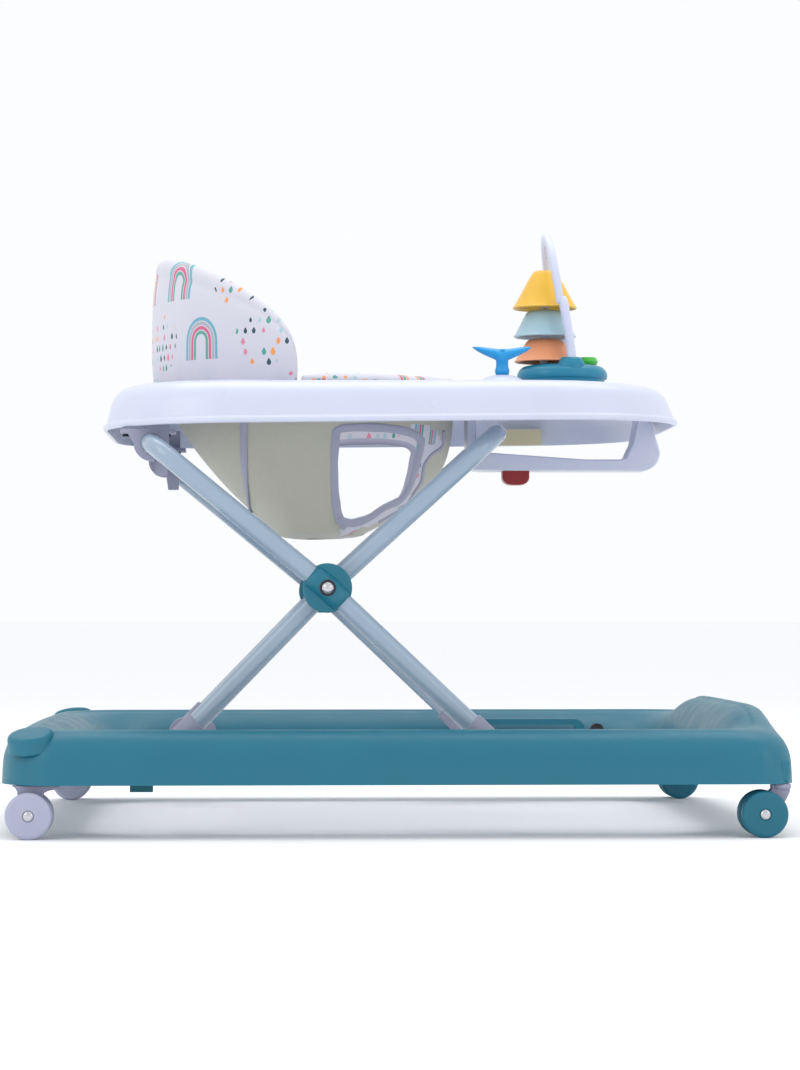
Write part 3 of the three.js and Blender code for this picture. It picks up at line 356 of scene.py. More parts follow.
def cloth(name, colour, pitch, depth):
    """Plain woven cloth or webbing."""
    material, tree, shader = surface(name, Roughness=0.85, Sheen_Weight=0.25)
    place = paint(tree, "UVMap", uv_map="metric").outputs[0]
    crossed, slub = weave(tree, shader, place, pitch, depth)
    base = linear(colour)
    thread = maths(tree, "MULTIPLY_ADD", crossed, 0.5, 0.5)
    woven = blend(tree, thread, tone(base, 0.95), tone(base, 1.03))
    shade = spread(tree, slub, 0.35, 0.65, 0.0, 0.5)
    feed(shader, "Base Color", blend(tree, shade, woven, tone(base, 0.94)))
    return material


# The printed cloth: each rainbow's bands from the outside in, and the drops' colours.
PRINT_GROUND = "cfced9"
RAINBOWS = [("66a9bb", "a9abb4", "cf5f86", "55a394"), ("c9cad6", "d2557c", "4d9e8d", "ee9a4e"),
            ("a9abb4", "4a9c8c", "ee8a3c", "1f4658")]
DROPS = ["ee9a4e", "1f4658", "e07f9b", "4d9e8d", "a9c7cf"]


def ramp(tree, value, stops):
    """Hard-edged colours by value: stops are (position, colour)."""
    made = paint(tree, "ValToRGB", {0: value})
    made.color_ramp.interpolation = "CONSTANT"
    while len(made.color_ramp.elements) < len(stops):
        made.color_ramp.elements.new(1)
    for element, (position, colour) in zip(made.color_ramp.elements, stops):
        element.position = position
        element.color = colour
    return made.outputs[0]


def lattice(tree, place, width, height, stagger):
    """Splits the cloth into cells: where a point is in its cell, in metres, and the cell's random numbers."""
    calc = partial(maths, tree)
    split = paint(tree, "SeparateXYZ", {0: place})
    row_place = calc("DIVIDE", split.outputs[1], height)
    row = calc("FLOOR", row_place)
    shift = calc("MULTIPLY", calc("FLOORED_MODULO", row, 2.0), stagger)
    column_place = calc("ADD", calc("DIVIDE", split.outputs[0], width), shift)
    column = calc("FLOOR", column_place)
    seed = paint(tree, "CombineXYZ", {0: column, 1: row, 2: width * 100 + 5}).outputs[0]
    chance = paint(tree, "TexWhiteNoise", {"Vector": seed}, noise_dimensions="3D")
    numbers = paint(tree, "SeparateColor", {0: chance.outputs["Color"]}).outputs
    across = calc("MULTIPLY", calc("SUBTRACT", calc("SUBTRACT", column_place, column), 0.5), width)
    up = calc("MULTIPLY", calc("SUBTRACT", calc("SUBTRACT", row_place, row), 0.5), height)
    jog = calc("MULTIPLY", calc("SUBTRACT", numbers[0], 0.5), width * 0.24)
    return calc("ADD", across, jog), up, chance.outputs["Value"], numbers[1], numbers[2]


def printed(name, ground):
    """Cloth printed with a staggered lattice of rainbows and clusters of drops, in metres of cloth."""
    material, tree, shader = surface(name, Roughness=0.8, Sheen_Weight=0.2)
    calc = partial(maths, tree)
    place = paint(tree, "UVMap", uv_map="metric").outputs[0]
    crossed, _ = weave(tree, shader, place, 0.8, 0.05)
    white = linear(ground)

    def distance(across, up):
        return calc("SQRT", calc("ADD", calc("POWER", calc("ABSOLUTE", across), 2.0),
                                 calc("POWER", calc("ABSOLUTE", up), 2.0)))

    # A cell holds a rainbow where pick is under bow_share, and a cluster of drops where it is over.
    bow_share = 0.56
    x, y, pick, hue, size = lattice(tree, place, 0.064, 0.058, 0.5)
    reach = calc("MULTIPLY_ADD", size, 0.007, 0.0150)
    above = calc("MAXIMUM", calc("SUBTRACT", y, -0.002), 0.0)
    share = calc("DIVIDE", distance(x, calc("MULTIPLY", above, 0.85)), reach)
    arches = []
    for colours in RAINBOWS:
        stops = [(0, white)]
        for band, colour in enumerate(reversed(colours)):
            stops += [(0.29 + 0.18 * band, linear(colour)), (0.43 + 0.18 * band, white)]
        arches.append(ramp(tree, share, stops))
    chosen = blend(tree, calc("GREATER_THAN", hue, 0.36), arches[0], arches[1])
    chosen = blend(tree, calc("GREATER_THAN", hue, 0.74), chosen, arches[2])
    above_feet = calc("GREATER_THAN", y, -0.019)
    bow = calc("MULTIPLY", above_feet, calc("LESS_THAN", pick, bow_share))
    bow = calc("MULTIPLY", bow, calc("LESS_THAN", share, 1.0))
    with_bows = blend(tree, bow, white, chosen)

    dx, dy, drop_pick, drop_hue, drop_size = lattice(tree, place, 0.0085, 0.0098, 0.37)
    thin = calc("MULTIPLY_ADD", calc("MAXIMUM", dy, 0.0), 260.0, 1.0)
    away = distance(calc("MULTIPLY", dx, thin), calc("MULTIPLY", dy, 0.62))
    inside = calc("LESS_THAN", away, calc("MULTIPLY_ADD", drop_size, 0.0009, 0.0014))
    within = calc("MULTIPLY", calc("LESS_THAN", distance(x, y), 0.027), calc("GREATER_THAN", pick, bow_share))
    drop = calc("MULTIPLY", calc("MULTIPLY", inside, within), calc("LESS_THAN", drop_pick, 0.8))
    drop_colour = ramp(tree, drop_hue, [(i / len(DROPS), linear(c)) for i, c in enumerate(DROPS)])
    inked = blend(tree, drop, with_bows, drop_colour)
    thread = calc("MULTIPLY_ADD", crossed, 0.05, 0.05)
    feed(shader, "Base Color", blend(tree, thread, inked, tone(white, 0.6)))
    return material


TEAL = moulded("teal_plastic", "08697f", 0.42, 0.03, 0.3, Specular_IOR_Level=0.5)
TEAL_WHEEL = moulded("teal_wheel", "07647a", 0.5, 0.03)
TEAL_TOY = moulded("teal_toy", "0b7c9a", 0.35, 0.02)
GREY = moulded("pale_grey_plastic", "8f91a6", 0.5, 0.03)
WHEEL_GREY = moulded("grey_wheel", "a8abc1", 0.5, 0.03)
WHITE = moulded("white_plastic", "c8cde0", 0.32, 0.02, 0.1, Coat_Weight=0.15)
WHITE_TOY = moulded("white_toy", "ced3e6", 0.3, 0.015, 0.1)
FRAME_PAINT = moulded("frame_paint", "93a6b8", 0.22, 0.01, 0.1, Coat_Weight=0.6, Coat_Roughness=0.08)
STEEL = brushed("steel", "c9cacf", 0.25)
BLACK = moulded("black_rubber_and_painted_shade", "25272b", 0.75, 0.05)
DARK_TEAL = moulded("dark_teal_rubber", "1a5f6c", 0.75, 0.05)
RED = moulded("red_button", "8c0712", 0.3, 0.02, 0.2)
BEIGE = cloth("beige_webbing", "d6cda8", 1.6, 0.15)
LINING = cloth("seat_lining", "bab8aa", 0.9, 0.07)
BINDING = cloth("binding_tape", "a3a5b8", 1.3, 0.12)
PRINT = printed("printed_cotton", PRINT_GROUND)
YELLOW = moulded("yellow_cup", "e8b638", 0.33, 0.015)
MINT = moulded("mint_cup", "a3c4d0", 0.3, 0.015)
ORANGE = moulded("orange_cup", "ea9a6e", 0.33, 0.015)
GREEN = moulded("green_leaf", "3fae3f", 0.35, 0.015)
BLUE = moulded("blue_tail", "0a93d2", 0.3, 0.015)

# ---- base ----
RAIL, REAR_RAIL = 62, 68  # the rails' widths
WALL = 3.2
FRONT_CORNER, REAR_CORNER, BOW = 34, 50, 6
RIDGE, HUMP = 95, 18  # the rails' top, and how much higher the front rail's middle is
HUMP_START, HUMP_END = 205, 318
CORNER_STEPS, SIDE_STEPS = 7, 14
BASE_LOW, BASE_HIGH = box("base_shell")
LOW_Z = BASE_LOW.z
HALF_LENGTH = BASE_HIGH.x - BOW
HALF_WIDTH = BASE_HIGH.y


def rounded_ring(rear, front, half, rear_corner, front_corner, z):
    """A rectangle with round corners and bowed ends; z is a height, or a function of x and y."""
    corners = [(front, half, front_corner, 0), (-rear, half, rear_corner, 90),
               (-rear, -half, rear_corner, 180), (front, -half, front_corner, 270)]
    points = []
    for index, (x, y, r, start) in enumerate(corners):
        cx, cy = x - copysign(r, x), y - copysign(r, y)
        for step in range(CORNER_STEPS + 1):
            angle = radians(start + 90 * step / CORNER_STEPS)
            points.append((cx + r * cos(angle), cy + r * sin(angle)))
        nx, ny, nr, turn = corners[(index + 1) % 4]
        last = points[-1]
        ahead = (nx - copysign(nr, nx) + nr * cos(radians(turn)),
                 ny - copysign(nr, ny) + nr * sin(radians(turn)))
        points += [(mix(last[0], ahead[0], s / SIDE_STEPS), mix(last[1], ahead[1], s / SIDE_STEPS))
                   for s in range(1, SIDE_STEPS)]
    ring = []
    for x, y in points:
        out = copysign(BOW * max(1 - (y / half) ** 2, 0), x) if abs(x) > min(rear, front) - 1 else 0
        ring.append(Vector((x + out, y, z(x, y) if callable(z) else z)))
    return ring


def ridge_at(x, y):
    return RIDGE + HUMP * ease(HUMP_START, HUMP_END, x) * ease(HALF_WIDTH - 40, HALF_WIDTH - 150, abs(y))


def outer(inset, z):
    """A ring on the base's outer side."""
    return rounded_ring(HALF_LENGTH - inset, HALF_LENGTH - inset, HALF_WIDTH - inset,
                        max(REAR_CORNER - inset * 0.2, 8), max(FRONT_CORNER + inset * 0.2, 8), z)


def over(share, z):
    """A ring on the rails, a share of the way from their outer to their inner side."""
    return rounded_ring(HALF_LENGTH - REAR_RAIL * share, HALF_LENGTH - RAIL * share, HALF_WIDTH - RAIL * share,
                        REAR_CORNER + 10 * share, FRONT_CORNER + 26 * share, z)


def ridge(drop):
    return lambda x, y: ridge_at(x, y) - drop


INSIDE = 1 - WALL / RAIL
base_rings = [
    *[outer(inset, z) for inset, z in ((0, LOW_Z), (0.3, LOW_Z + 2), (0.8, LOW_Z + 20), (2.4, RIDGE - 20),
                                       (6, RIDGE - 10.5))],
    *[over(share, ridge(drop)) for share, drop in (
        (0.2, 4), (0.3, 1), (0.4, 0), (0.45, 0.4), (0.475, 2.2), (0.52, 2.4), (0.62, 4), (0.74, 9), (0.88, 18))],
    over(0.97, RIDGE - 26), over(1, RIDGE - 33), over(1, LOW_Z + 2), over(1, LOW_Z), over(INSIDE, LOW_Z),
    over(INSIDE, RIDGE - 36),
    *[over(share, ridge(drop + WALL)) for share, drop in (
        (0.84, 20), (0.7, 10), (0.54, 5), (0.38, 0), (0.25, 4))],
    outer(9, RIDGE - 16), outer(WALL + 1, LOW_Z + 20), outer(WALL, LOW_Z)]
base_parts = [loft(base_rings, wrap=True, creased=[(0, 0.7), (17, 0.7), (18, 0.7), (27, 0.7)])]
# The raised pad on each rear corner: a low oval with a rounded rim that leans out with the rail.
pad_profile = rounded([(AXIS, 7.4), (9, 7.3), (16.5, 6.6), (19.4, 5.2), (20.6, 2.2), (21, -3), (21.5, -9)])
for side in SIDES.values():
    pad = lathe(pad_profile, (0, 0, 0), stretch=(1, 0.92), segments=56)
    lean = Matrix.Rotation(radians(-17 * side), 4, "X") @ Matrix.Rotation(radians(-7), 4, "Y")
    seat = Vector((-(HALF_LENGTH - 27), side * (HALF_WIDTH - 20.5), RIDGE - 8.5))
    pad["verts"] = [seat + lean @ point for point in pad["verts"]]
    base_parts.append(pad)
# A socket round each caster's stem, and a shelf over each rear wheel's bracket.
socket_x, rear_x = HALF_LENGTH - 12, centre("rear_axle_right").x
for side in SIDES.values():
    y = side * abs(centre("caster_fork_right").y)
    base_parts.append(lathe([(6.6, LOW_Z + 1), (9.5, LOW_Z + 1), (9.5, LOW_Z + 22), (6.6, LOW_Z + 22)],
                            (socket_x, y, 0), segments=32))
    base_parts.append(plate([(rear_x - 14, LOW_Z + 0.2), (rear_x + 28, LOW_Z + 0.2),
                             (rear_x + 28, LOW_Z + 3), (rear_x - 14, LOW_Z + 3)], y - 12, y + 12))
build("base_moulding", base_parts, TEAL, "base", ["base_shell"], level=1, sharp=48)

# ---- tray ----
TRAY_HIGH = box("tray_shell")[1]
TRAY_X, TRAY_Y, TRAY_TOP = TRAY_HIGH.x, TRAY_HIGH.y, TRAY_HIGH.z + 0.5
TRAY_CORNER = 125
TRAY_FLOOR = TRAY_TOP - 6
SEAT_X = -88
OPEN_REAR, OPEN_FRONT, OPEN_SIDE = 128, 156, 140
TRAY_STEPS = 96


def lip_at(x):
    return mix(367, 373, (x + TRAY_X) / (2 * TRAY_X))


def in_tray(x, y):
    """Whether a point is inside the tray's outline."""
    dx = max(abs(x) - (TRAY_X - TRAY_CORNER), 0)
    dy = max(abs(y) - (TRAY_Y - TRAY_CORNER), 0)
    return dx * dx + dy * dy < TRAY_CORNER ** 2 if dx and dy else abs(x) < TRAY_X and abs(y) < TRAY_Y


def tray_edge(angle):
    """The outline's point in one direction from the seat's middle, found by halving."""
    near, far = 0.0, 600.0
    for _ in range(40):
        half = (near + far) / 2
        held = in_tray(SEAT_X + half * cos(angle), half * sin(angle))
        near, far = (half, far) if held else (near, half)
    return Vector((SEAT_X + near * cos(angle), near * sin(angle)))


def opening(angle, grow=0):
    reach = OPEN_FRONT if cos(angle) > 0 else OPEN_REAR
    return Vector((SEAT_X + (reach + grow) * cos(angle), (OPEN_SIDE + grow) * sin(angle)))


# The directions lie closer together towards the front, where the tray reaches further.
TRAY_ANGLES = [a - 0.28 * sin(a) for a in around(TRAY_STEPS)]
TRAY_EDGES = [tray_edge(a) for a in TRAY_ANGLES]


def tray_ring(inset, share, z):
    """A ring a distance in from the tray's outline, but at most a share of the way to the seat opening."""
    ring = []
    for angle, edge in zip(TRAY_ANGLES, TRAY_EDGES):
        hole = opening(angle)
        gap = (hole - edge).length
        point = edge.lerp(hole, min(inset, gap * share) / gap)
        ring.append(Vector((point.x, point.y, z(point.x) if callable(z) else z)))
    return ring


def opening_ring(grow, z):
    return [Vector((*opening(angle, grow), z)) for angle in TRAY_ANGLES]


UNDER = TRAY_FLOOR - 3


def lip(rise):
    return lambda x: lip_at(x) + rise


tray_rings = [
    *[tray_ring(inset, 1, lip(rise)) for inset, rise in (
        (1.2, 0), (0.2, 0.9), (-0.2, 2.6), (0.3, 4.6), (1.6, 5.6), (3, 6.2), (4, 9))],
    *[tray_ring(inset, share, TRAY_TOP - drop) for inset, share, drop in (
        (6.4, 1, 23), (9.4, 1, 14.5), (13.5, 1, 8.5), (19, 0.36, 4.3), (26, 0.48, 1.8), (34, 0.58, 0.4),
        (42, 0.66, 0.4), (46, 0.7, 1.6), (49, 0.73, 5.2))],
    tray_ring(52, 0.75, TRAY_FLOOR),
    *[opening_ring(grow, TRAY_FLOOR + rise) for grow, rise in (
        (11, 0), (8, 0.6), (5.5, 2.7), (3, 3), (0.6, 2.6), (0, 0.5), (0, -14), (3, -14), (3, -3))],
    tray_ring(52, 0.75, UNDER), tray_ring(42, 0.62, UNDER + 3), tray_ring(30, 0.5, UNDER + 3.5),
    tray_ring(17, 0.3, TRAY_TOP - 13), tray_ring(11, 1, TRAY_TOP - 22), tray_ring(7, 1, lip(6)),
    tray_ring(4, 1, lip(0))]
build("tray_moulding", [loft(tray_rings, wrap=True, creased=[(24, 0.6), (23, 0.6), (32, 0.5)])],
      WHITE, "tray", ["tray_shell"], level=1, sharp=50)

# ---- mechanism points, from the CAD frame ----
HUB = centre("hub_rivet_right")
HUB_AXIS = Vector((HUB.x, 0, HUB.z))
HUB_RADIUS, HUB_BORE = 22, 4.6
LOWER_Y, UPPER_Y = 190, 212
LEG_RADIUS = 9
PIVOT_Z = 74.2
LOWER_SLOPE, UPPER_SLOPE = 45.9, 43.4  # degrees, below the hub
TUBE_BEND = 32
HUB_BEND = 14  # how far each side of the hub a leg's slight bend reaches


def arm_end(length, degrees):
    turn = radians(degrees)
    return Vector((HUB.x + length * cos(turn), 0, HUB.z + length * sin(turn)))


RISE = HUB.z - PIVOT_Z
LOWER_FOOT = arm_end(RISE / sin(radians(LOWER_SLOPE)), 180 + LOWER_SLOPE)
UPPER_FOOT = arm_end(RISE / sin(radians(UPPER_SLOPE)), -UPPER_SLOPE)
LOWER_TOP = arm_end(212, 42.3)
UPPER_TOP = arm_end(208, 140.5)


def frame_tube(foot, top, leg_y):
    """The path of a U-shaped tube: up one leg, across its top bar and down the other."""
    hub = HUB_AXIS
    start = foot.lerp(hub, 12 / (hub - foot).length)
    up, on = (hub - foot).normalized(), (top - hub).normalized()
    half = [start.lerp(hub, t) for t in (0, 0.25, 0.5, 0.75)]
    half += [(hub - up * HUB_BEND).lerp(hub, t).lerp(hub.lerp(hub + on * HUB_BEND, t), t)
             for t in (0, 0.25, 0.5, 0.75, 1)]
    half += [(hub + on * HUB_BEND).lerp(top - on * TUBE_BEND, t) for t in (0.3, 0.6)]
    half = [point + Vector((0, -leg_y, 0)) for point in half]
    for step in range(15):
        turn = radians(90 * step / 14)
        y = -(leg_y - TUBE_BEND + TUBE_BEND * cos(turn))
        half.append(top - on * TUBE_BEND * (1 - sin(turn)) + Vector((0, y, 0)))
    half += [Vector((top.x, mix(-(leg_y - TUBE_BEND), 0, t), top.z)) for t in (0.33, 0.67, 1)]
    return half + [Vector((p.x, -p.y, p.z)) for p in reversed(half[:-1])]


build("lower_frame_tube", [tube(frame_tube(LOWER_FOOT, LOWER_TOP, LOWER_Y), LEG_RADIUS, 36)], FRAME_PAINT,
      "lower_frame", ["lower_tube"])
build("upper_frame_tube", [tube(frame_tube(UPPER_FOOT, UPPER_TOP, UPPER_Y), LEG_RADIUS, 36)], FRAME_PAINT,
      "upper_frame", ["upper_tube"])


def leg_piece(foot, top, y):
    """A round-ended bar over a leg where it passes through the hub."""
    low, high = (foot - HUB_AXIS).normalized(), (top - HUB_AXIS).normalized()
    path, sizes = [], []
    for along in (-1, -0.97, -0.9, -0.78, -0.5, 0, 0.5, 0.78, 0.9, 0.97, 1):
        way = low if along < 0 else high
        path.append(HUB_AXIS + way * abs(along) * 21.4 + Vector((0, y, 0)))
        sizes.append(12.4 * max(sqrt(max(1 - max(abs(along) - 0.7, 0) ** 2 / 0.095, 0)), 0.12))
    return swelling_tube(path, sizes, 28)


def hub_disc(y0, y1):
    way = 1 if y1 > y0 else -1
    deep = abs(y1 - y0)
    profile = turned([(HUB_BORE, 0), (HUB_RADIUS - 1, 0), (HUB_RADIUS, 1), (HUB_RADIUS, deep - 1.6),
                      (HUB_RADIUS - 1.8, deep), (HUB_BORE, deep)], least=HUB_BORE)
    return lathe(profile, (HUB.x, y0, HUB.z), "Y", way=way)


for name, side in SIDES.items():
    for place, out, leg_y, foot, top, body, cap in (
            ("outer", side, UPPER_Y, UPPER_FOOT, UPPER_TOP, "upper_frame", f"hub_cap_{name}"),
            ("inner", -side, LOWER_Y, LOWER_FOOT, LOWER_TOP, "lower_frame", f"hub_inner_cap_{name}")):
        inner_face = side * (LOWER_Y + UPPER_Y) / 2 + out * 0.3
        build(f"hub_disc_{place}_{name}", [hub_disc(inner_face, side * leg_y + out * 5),
                                           leg_piece(foot, top, side * leg_y)],
              TEAL, body, [cap], sharp=50)
    rivet = [(AXIS, 3.2), (2.2, 2.9), (4, 2), (5.2, 0.8), (5.6, 0), (5.6, -0.6), (4, -0.8), (4, -25)]
    washer = [(5.2, 0.2), (7.2, 0.2), (7.4, -0.4), (7.2, -0.9), (5.2, -0.9)]
    heads = []
    for y, way in ((side * (UPPER_Y + 12.6), side), (side * (LOWER_Y - 12.6), -side)):
        heads += [lathe(shape, (HUB.x, y, HUB.z), "Y", 40, way=way) for shape in (rivet, washer)]
        heads[-1]["slot"] = 1
    rivet_body = frame["nodes"][f"hub_rivet_{name}"]["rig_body"]
    build(f"hub_pin_{name}", heads, STEEL, rivet_body, [f"hub_rivet_{name}"], more=[BLACK])

    # The knuckle on each leg's lower end: an eye and a sleeve with a rounded mouth.
    for foot, leg_y, width, node, body, pin in (
            (LOWER_FOOT, LOWER_Y, 22, f"rear_knuckle_{name}", "lower_frame", 0),
            (UPPER_FOOT, UPPER_Y, 20, f"front_knuckle_{name}", "upper_frame", HALF_WIDTH - RAIL - 1.5)):
        y, half = side * leg_y, width / 2
        eye = turned([(5.6, -half), (13.6, -half), (15, -half + 1.4), (15, half - 1.4), (13.6, half),
                      (5.6, half)], least=5.4)
        way = (HUB_AXIS - foot).normalized()
        line = [foot + Vector((0, y, 0)) + way * d for d in (2, 10, 22, 31.5, 33.4, 34)]
        parts = [lathe(eye, (foot.x, y, foot.z), "Y", 48),
                 swelling_tube(line, (11.4, 11.4, 11.4, 11.4, 10.9, 9.6), 32)]
        if pin:
            reach = pin - leg_y - half + 2
            parts.append(lathe([(5, 0), (5, 12), (4.4, reach), (AXIS, reach)],
                               (foot.x, side * (leg_y + half - 2), foot.z), "Y", 32, way=side))
        build(node.replace("knuckle", "foot_knuckle"), parts, GREY, body, [node])

# ---- wheels ----
WHEEL_RADIUS = 20.5
DISC = 11  # a wheel's thickness
PAIR_GAP = 14  # between the two wheels of a pair


def wheel(at, face):
    """One disc wheel, its dished face on the side that face names."""
    half, edge = DISC / 2, WHEEL_RADIUS
    profile = [(3.4, -half), (edge - 2.2, -half), (edge - 0.7, -half + 0.6), (edge, -half + 2.2),
               (edge, half - 2.6), (edge - 0.5, half - 1.2), (edge - 2.2, half - 0.1),
               (edge - 4, half), (edge - 6.5, half - 0.7), (9, half - 1), (7, half - 0.5),
               (5.4, half - 0.4), (4.6, half - 1.3), (3.4, half - 1.6), (3.4, -half)]
    return lathe(profile, at, "Y", 72, way=face)


def axle_pin(at, face):
    """An axle through a pair of wheels, with its head on the outer one."""
    half = PAIR_GAP / 2 + DISC
    profile = [(AXIS, -half), (3, -half), (3, half - 1), (4.3, half - 0.9), (4.4, half - 0.2), (3.6, half + 0.7),
               (2, half + 1.15), (AXIS, half + 1.25)]
    return lathe(profile, at, "Y", 36, way=face)


for name, side in SIDES.items():
    for end, material, slot in (("rear", WHEEL_GREY, "wheel_grey"), ("front", TEAL_WHEEL, "wheel_teal")):
        body = f"{end}_wheels_{name}"
        middle = centre(f"{end}_axle_{name}")
        at = Vector((middle.x, side * abs(centre(f"rear_wheel_bracket_{name}").y), WHEEL_RADIUS))
        offset = (PAIR_GAP + DISC) / 2
        for place, way in (("outer", 1), ("inner", -1)):
            build(f"{end}_disc_{place}_{name}", [wheel(at + Vector((0, side * way * offset, 0)), side * way)],
                  material, body, [f"{end}_wheel_{place}_{name}"])
        build(f"{end}_pin_{name}", [axle_pin(at, side)], STEEL, body, [f"{end}_axle_{name}"])
        if end == "rear":
            # The fixed bracket, seen from the side.
            shape = [(-16, 26), (-12.4, 24.4), (-10.6, 21), (-9.6, 15), (-9, 8)] + arc(0, 0, 9, 180, 360, 18)
            shape += [(9.4, 8), (10.6, 15), (12.8, 19.6), (17, 21.6), (24, 23), (27, 26)]
            parts, carrier = [], "base"
            piece, node = f"rear_mount_{name}", f"rear_wheel_bracket_{name}"
        else:
            # The caster's fork, seen from the side, and the stem that it swivels on.
            shape = [(8, 26), (7.4, 21.6), (3, 18), (-3, 14), (-8, 8)] + arc(0, 0, 9, 165, 345, 18)
            shape += [(13, 4), (20, 12), (23.4, 19), (24, 26)]
            stem = [(AXIS, 44), (5, 44), (6, 43), (6, 26.2), (9, 26.2), (9.4, 24), (9, 22), (AXIS, 22)]
            parts, carrier = [lathe(stem, (at.x + 16, at.y, at.z), "Z", 40)], f"caster_{name}"
            piece, node = f"caster_yoke_{name}", f"caster_fork_{name}"
        cheek = plate([(at.x + x, at.z + z) for x, z in shape], at.y - 6, at.y + 6)
        build(piece, [cheek, *parts], GREY, carrier, [node], bevel=0.9)

# ---- under the tray ----
RACK_LOW, RACK_HIGH = box("height_rack")
bar_x, bar_z = LOWER_TOP.x, LOWER_TOP.z
# The lower tube's top bar slides on the rack as the frame folds: how far forward it goes, and down.
BAR_TRAVEL, BAR_DROP, BAR_CLEAR = 96, 6.6, 10
rail = RACK_LOW.z
front = RACK_HIGH.x
post = bar_x - BAR_CLEAR
button_x = centre("height_button").x
rail_top = bar_z - BAR_CLEAR
rail_end = bar_z - (BAR_CLEAR + BAR_DROP)
rack_side = [(post - 9, UNDER - 0.3), (post - 9, rail + 11), (post - 8, rail + 6), (post - 5.5, rail + 2.4),
             (post - 1, rail + 0.6), (post + 6, rail), (front - 17, rail)]
rack_side += arc(front - 17, rail + 17, 17, -84, -4, 10)
rack_side += [(front, rail + 19), (front - 12, UNDER - 7.4), (front - 15, UNDER - 7.3),
              (front - 20, UNDER - 7.3), (front - 26, rail + 27), (front - 33, rail + 12.4), (front - 38, rail_end),
              (bar_x + BAR_TRAVEL, rail_end), (bar_x, rail_top), (post, rail_top), (post, UNDER - 0.3)]
build("rack_moulding", [plate(rack_side, RACK_LOW.y, RACK_HIGH.y)], WHITE, "tray", ["height_rack"],
      bevel=1.6)
key = [(-13, 2.5), (-13, -6.5), (-12.4, -9), (-10.6, -11.4), (-7.6, -13), (-4, -13.5), (4, -13.5), (7.6, -13),
       (10.6, -11.4), (12.4, -9), (13, -6.5), (13, 2.5)]
build("release_key", [plate([(button_x + x, rail + z) for x, z in key], -11, 11)], RED, "height_button",
      ["height_button"], bevel=1.8)

# ---- seat ----
SEAT_LOW = box("seat_bag")[0].z
SEAT_TOP = TRAY_FLOOR + 2
COLUMNS, LEVELS = 120, 30
CLOTH_THICK = 2.2
# The seat's reach to the rear, the front and each side: at its top, at its bottom, and the curve between them.
BAG_REACHES = [(123, 20, 1.5), (152, 68, 3.2), (135, 74, 1.8)]


def bag_reach(t):
    """How far the hanging seat reaches to the rear, to the front and to each side at a depth share."""
    return [mix(top, bottom, t ** curve) for top, bottom, curve in BAG_REACHES]


def bag_point(angle, t, inset=0):
    """A point of the seat's outside, less an inset, with its slack and its gathers under the rim."""
    rear, ahead, side_reach = (r - inset for r in bag_reach(t))
    reach = ahead if cos(angle) > 0 else rear
    slack = 1.5 * t * (1 - t) * 4 * noise.noise(Vector((cos(angle) * 3, sin(angle) * 3, t * 3 + 7)))
    gathers = 1.2 * sin(angle * 22 + 3 * t) * exp(-t * 14)
    grow = slack + gathers
    return Vector((SEAT_X + (reach + grow) * cos(angle), (side_reach + grow) * sin(angle),
                   mix(SEAT_TOP, SEAT_LOW + 5, t)))


def bag_rings(inset):
    """The rings of one skin of the seat, from the tray down to its rounded bottom."""
    rings = [[bag_point(angle, level / LEVELS, inset) for angle in around(COLUMNS)]
             for level in range(LEVELS + 1)]
    for share, drop in ((0.93, 2.6), (0.8, 4.2), (0.55, 5.6), (0.25, 6.2)):
        rings.append([Vector((mix(-72, p.x, share), p.y * share, p.z - drop)) for p in rings[LEVELS]])
    return rings


# A leg hole's outline, seen from the side.
HOLE = [(-51, 367), (-52.5, 360), (-53.5, 345), (-53.5, 325), (-52, 305), (-49.5, 292), (-46.5, 286), (-41, 283),
        (-32, 283), (-18, 288), (-4, 297.5), (10, 304), (17, 311), (22, 322), (26, 336), (29, 350), (30, 360),
        (22, 366), (5, 369.5), (-20, 370.5), (-42, 369.5)]
HOLE_CURVE = rounded(HOLE, 5, closed=True)


def on_bag(x, z, side, out=0):
    """The point of the seat's outside at an x and a z, on one side, and the way out of the cloth there."""
    t = min(max((SEAT_TOP - z) / (SEAT_TOP - SEAT_LOW - 5), 0), 1)
    rear, ahead, side_reach = bag_reach(t)
    reach = ahead if x > SEAT_X else rear
    share = min(max((x - SEAT_X) / reach, -0.999), 0.999)
    angle = side * acos(share)
    point = bag_point(angle, t)
    way = Vector((share / reach, side * sqrt(1 - share * share) / side_reach, -0.004)).normalized()
    return Vector((x, point.y, z)) + way * out, way


def inside_polygon(x, z, polygon):
    found = False
    for i, a in enumerate(polygon):
        b = polygon[i - 1]
        if (a[1] > z) != (b[1] > z) and x < (b[0] - a[0]) * (z - a[1]) / (b[1] - a[1]) + a[0]:
            found = not found
    return found


# The turned-out printed edge in front of each leg hole, from the crotch up to the tray.
TURNOUT = [(-40, 262), (-34, 276), (-18, 280), (0, 290), (15, 300), (23, 312), (31, 324), (33, 338), (41, 348),
           (52, 357), (44, 372), (20, 378), (22, 366), (29, 352), (24, 330), (17, 312), (6, 302), (-14, 290),
           (-32, 284), (-46, 284), (-46, 262)]

skin, under_skin = bag_rings(0), bag_rings(CLOTH_THICK)


def bag_uv(row, col):
    """Cloth metres: round the seat at its mean radius, and down from the rim."""
    return (2 * pi * col / COLUMNS * 0.125, 0.35 - row * 0.0045)


